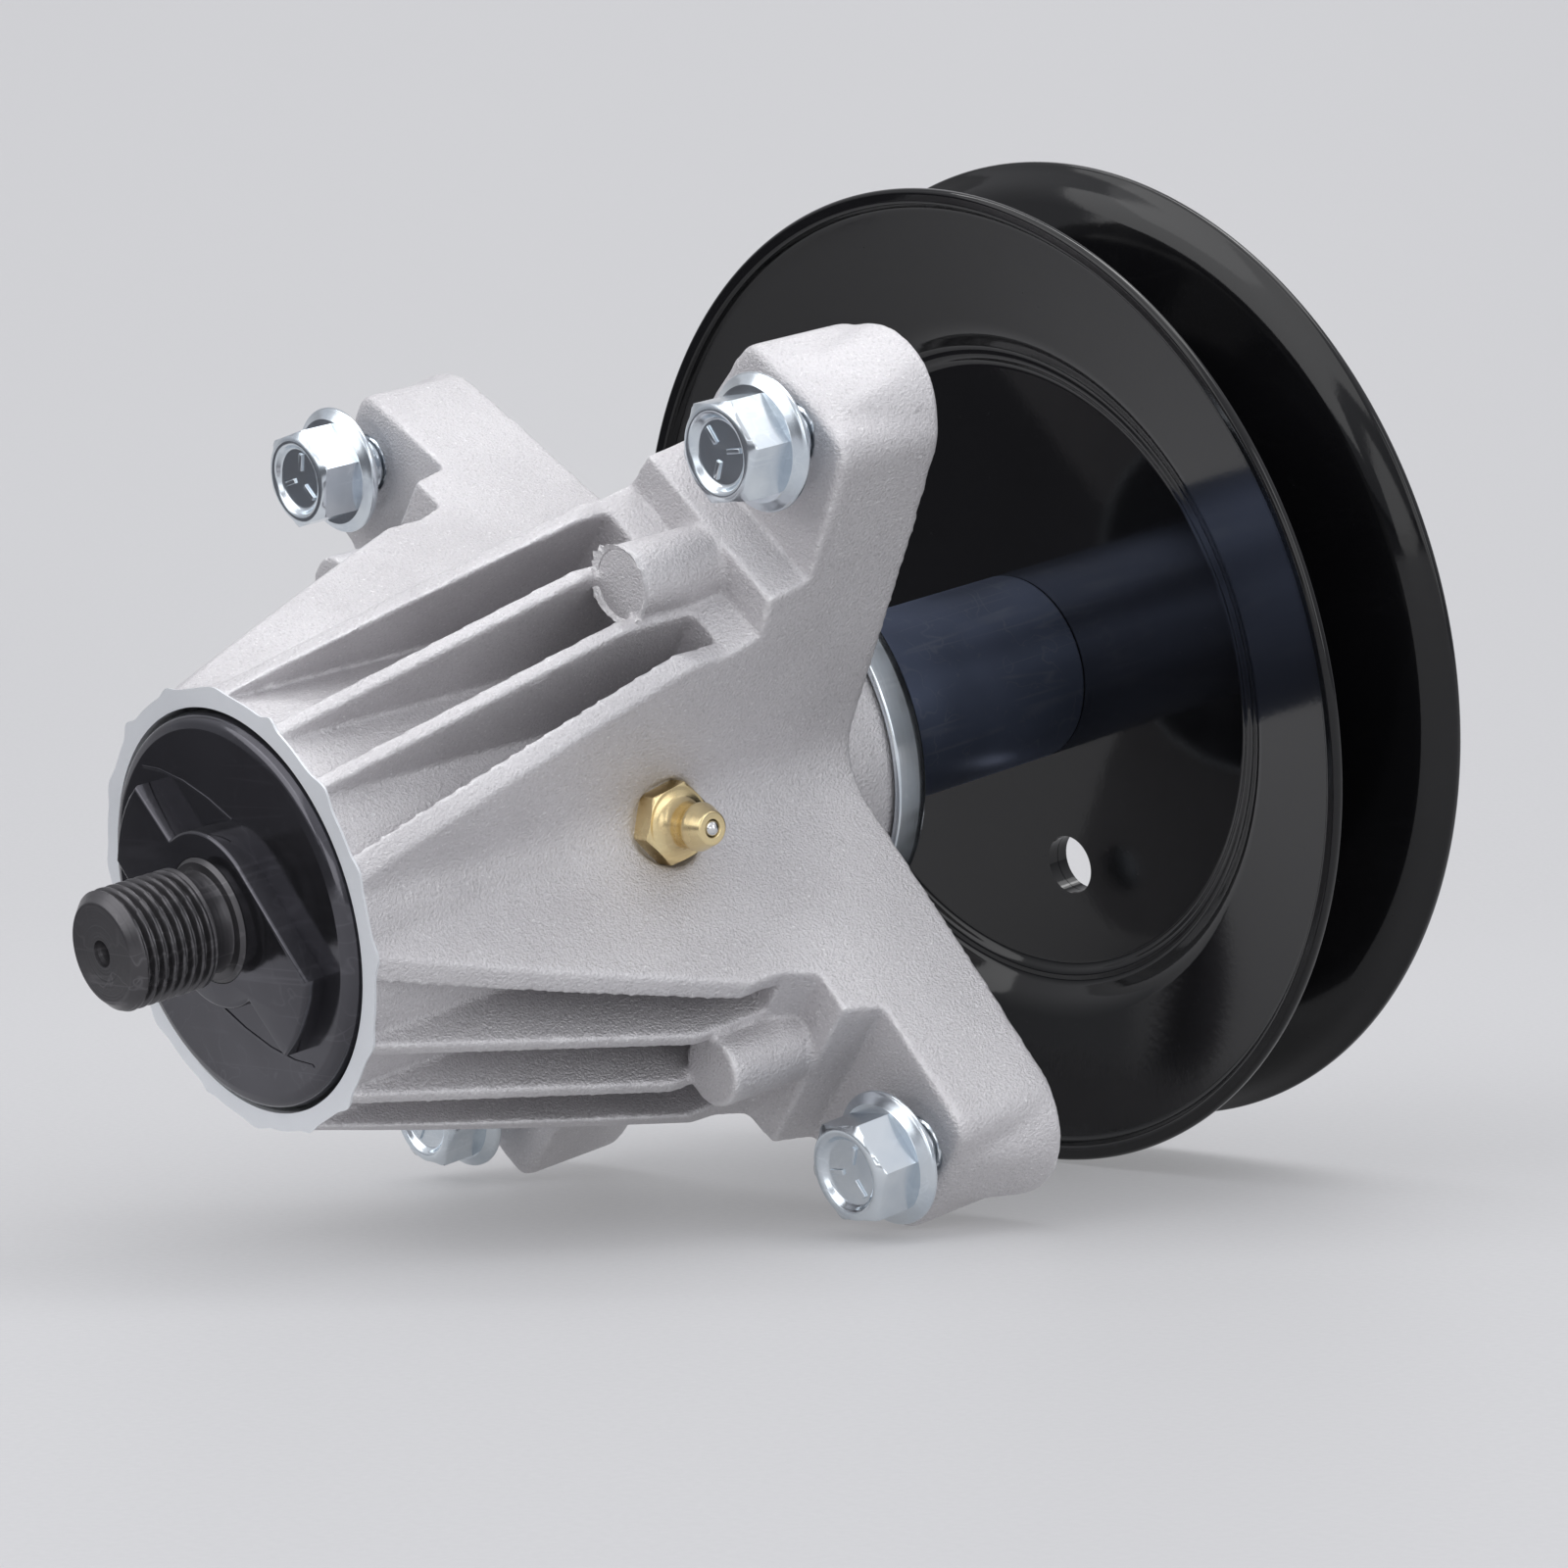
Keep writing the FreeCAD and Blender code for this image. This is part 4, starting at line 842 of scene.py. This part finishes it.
# %% Pulley nut
nut = eased([(8.0, WEB_BACK, 0), (15.5, WEB_BACK), (15.5, 164.6), (13.6, 166.2), (13.6, 175.2),
             (11.5, 176.5), (8.0, 176.5)], 0.35, 3)
nut_mesh = lathe("nut", nut, 144, flats=23.8, hexed=(165.9, 176.6), closed=True)
nut_mesh.materials.append(zinc)
place("flange_nut", nut_mesh, "spindle", "pulley_nut", slot="zinc")

# %% Grease fitting and its check ball
lean = Matrix.Rotation(math.radians(4), 4, "Z") @ Matrix.Rotation(math.radians(90), 4, "Y")
seat = Matrix.Translation((27.2 * MM, 0, (DECK - 32.7) * MM)) @ lean
fitting = eased([(0, -5.4, 0), (3.1, -5.4), (3.1, 0.0), (5.2, 0.0, 0.1), (5.55, 0.2, 0.1),
                 (5.55, 2.7, 0.1), (4.85, 3.0, 0.1), (4.4, 3.05, 0.15), (3.5, 3.4, 1.0),
                 (2.85, 4.3, 0.8), (2.85, 6.1, 0.5), (3.2, 7.2, 0.3), (3.2, 7.5, 0.3),
                 (2.2, 9.75, 0.2), (1.25, 9.8, 0.15), (1.15, 9.6, 0.1), (1.15, 8.2), (0, 8.2)],
                0.3, 4)
fitting_mesh = lathe("fitting", fitting, 144, flats=9.6, hexed=(-0.1, 3.02))
fitting_mesh.transform(Matrix.Rotation(math.radians(-21), 4, "Z"))
fitting_mesh.materials.append(brass)
place("grease_nipple", fitting_mesh, "housing", "grease_fitting_body", slot="brass", matrix=seat)

slopes = [math.pi * k / 12 for k in range(13)]
ball_mesh = lathe("ball", [(1.1 * math.sin(a), 9.25 - 1.1 * math.cos(a)) for a in slopes], 32)
ball_mesh.materials.append(steel)
place("check_ball_top", ball_mesh, "check_ball", "grease_fitting_ball", slot="bearing_steel",
      matrix=seat)

# %% [markdown]
# ## What stays as the frame gives it
# Bearings, the inner spacer and the spring sit inside and are right as they are. They only need
# their metals and smooth shading.

# %% Finishes for the inner pieces
for name, piece in nodes.items():
    if piece.hide_render:
        continue
    if name.endswith("seals"):
        made_of = rubber
    elif name.endswith(("spacer", "spring", "cage")):
        made_of = plain_steel
    else:
        made_of = steel
    piece.data.materials.clear()
    piece.data.materials.append(made_of)
    smooth(piece.data, 30)
    print("kept", name, "in", made_of.name)


# %% [markdown]
# ## Studio
# The photograph is a catalogue shot: a seamless pale sweep under large soft lights from above and
# in front, with weaker ones at the side and on the wall behind. The black parts mirror the paper
# low down and something dark further up, so the paper ends not far to the left of the picture.
# The shadows under the spindle are light, so the sweep glows a little, as a table lit from below
# does. The room is bright above and dim at eye level. The camera stands where the circles of the
# pulley, the ring and the thread put it.

# %% Seamless sweep
def sweep():
    """Paper from the table up the wall, in metres: (reach from the object, height, left edge)."""
    work = bmesh.new()
    back = Vector((-0.767, 0.641, 0)).normalized()
    side = Vector((back.y, -back.x, 0))
    profile = [(-0.9, 0.0, -0.19), (0.10, 0.0, -0.19), (0.55, 0.0, -0.7)]
    bends = [math.pi / 2 * k / 24 for k in range(1, 25)]
    profile += [(0.55 + 0.9 * math.sin(a), 0.9 - 0.9 * math.cos(a), -2.5) for a in bends]
    profile.append((1.45, 3.2, -2.5))
    rows = []
    for reach, height, left in profile:
        rows.append([work.verts.new(back * reach + side * s + Vector((0, 0, height)))
                     for s in (left, 2.5)])
    for low, high in zip(rows, rows[1:]):
        work.faces.new((low[0], low[1], high[1], high[0]))
    return linked("sweep", ended(work, "sweep", 60))


floor = sweep()
paper, shader = matt("sweep_paper", (0.335, 0.335, 0.343), (0.35, 0.35, 0.358), (0.50, 0.62),
                     relief=(0.02, 0.05), size=900.0, waves=3.0, specular=0.25)
shader.inputs["Emission Color"].default_value = (1.0, 1.0, 1.02, 1.0)
shader.inputs["Emission Strength"].default_value = 0.22
floor.data.materials.append(paper)

# %% Dark floor of the studio, beyond the edge of the paper
work = bmesh.new()
work.faces.new([work.verts.new(corner) for corner in ((-3, -3, -0.03), (3, -3, -0.03),
                                                      (3, 3, -0.03), (-3, 3, -0.03))])
dark_floor = linked("studio_floor", ended(work, "studio_floor", None))
carpet, _ = matt("studio_carpet", (0.05, 0.05, 0.055), (0.09, 0.09, 0.10), (0.75, 0.9),
                 relief=(0.5, 0.3), size=600.0, waves=4.0, specular=0.2, clouded="Fine")
dark_floor.data.materials.append(carpet)


# %% Lights
def softbox(name, spot, target, size, power, tint=(1, 1, 1)):
    """A rectangular soft light that stands at a spot and looks at a target."""
    data = bpy.data.lights.new(name, "AREA")
    data.shape = "RECTANGLE"
    data.size, data.size_y = size
    data.energy = power
    data.color = tint
    lamp = linked(name, data)
    lamp.location = spot
    lamp.rotation_euler = (Vector(target) - Vector(spot)).to_track_quat("-Z", "Y").to_euler()


middle = lie @ Vector((0, 0, 0.095))
softbox("back_box", (0.15, 0.52, 1.2), middle, (0.9, 0.6), 3.2)
softbox("top_box", (0.05, -0.50, 1.2), middle, (1.3, 1.3), 3.2)
softbox("front_box", (-0.15, -1.15, 0.70), middle, (1.5, 1.0), 6.0)
softbox("right_box", (1.15, 0.15, 0.45), middle, (0.5, 0.9), 2.6, (0.97, 0.985, 1.0))
softbox("front_fill", (0.95, -0.75, 0.20), middle, (0.9, 0.5), 1.6)
softbox("wall_wash", (-0.5, 0.42, 1.7), (-1.2, 1.0, 0.5), (1.6, 0.4), 8.2)

# %% Room: dim at eye level, bright above
world = bpy.data.worlds.new("studio")
world.use_nodes = True
tree = world.node_tree
direction = add(tree, "ShaderNodeTexCoord").outputs["Generated"]
height = add(tree, "ShaderNodeSeparateXYZ", {0: direction}).outputs[2]
sky = blend(tree, spread(tree, height, 0.0, 0.75), (0.42, 0.43, 0.46), (1.0, 1.01, 1.06))
tree.links.new(sky, tree.nodes["Background"].inputs["Color"])
tree.nodes["Background"].inputs["Strength"].default_value = 0.80
bpy.context.scene.world = world
bpy.context.scene.view_settings.view_transform = "Standard"

# %% Camera, solved from the circles in the photograph
PHOTO_WIDTH, FOCAL_PIXELS, SENSOR = 1600, 4597.66, 36
look = Vector((-0.76756, 0.16595, 0.61912))
right = Vector((0.64077, 0.17427, 0.74769))
drop = Vector((0.01619, 0.97061, -0.24010))
turn = Matrix((right, -drop, -look)).transposed().to_4x4()
turn.translation = Vector((484.6, -98.8, -278.7)) * MM
camera_data = bpy.data.cameras.new("camera")
camera_data.lens = FOCAL_PIXELS / PHOTO_WIDTH * SENSOR
camera_data.sensor_width = SENSOR
camera = linked("camera", camera_data)
camera.matrix_world = lie @ turn
bpy.context.scene.camera = camera
print("camera at", [round(v, 3) for v in camera.matrix_world.translation])
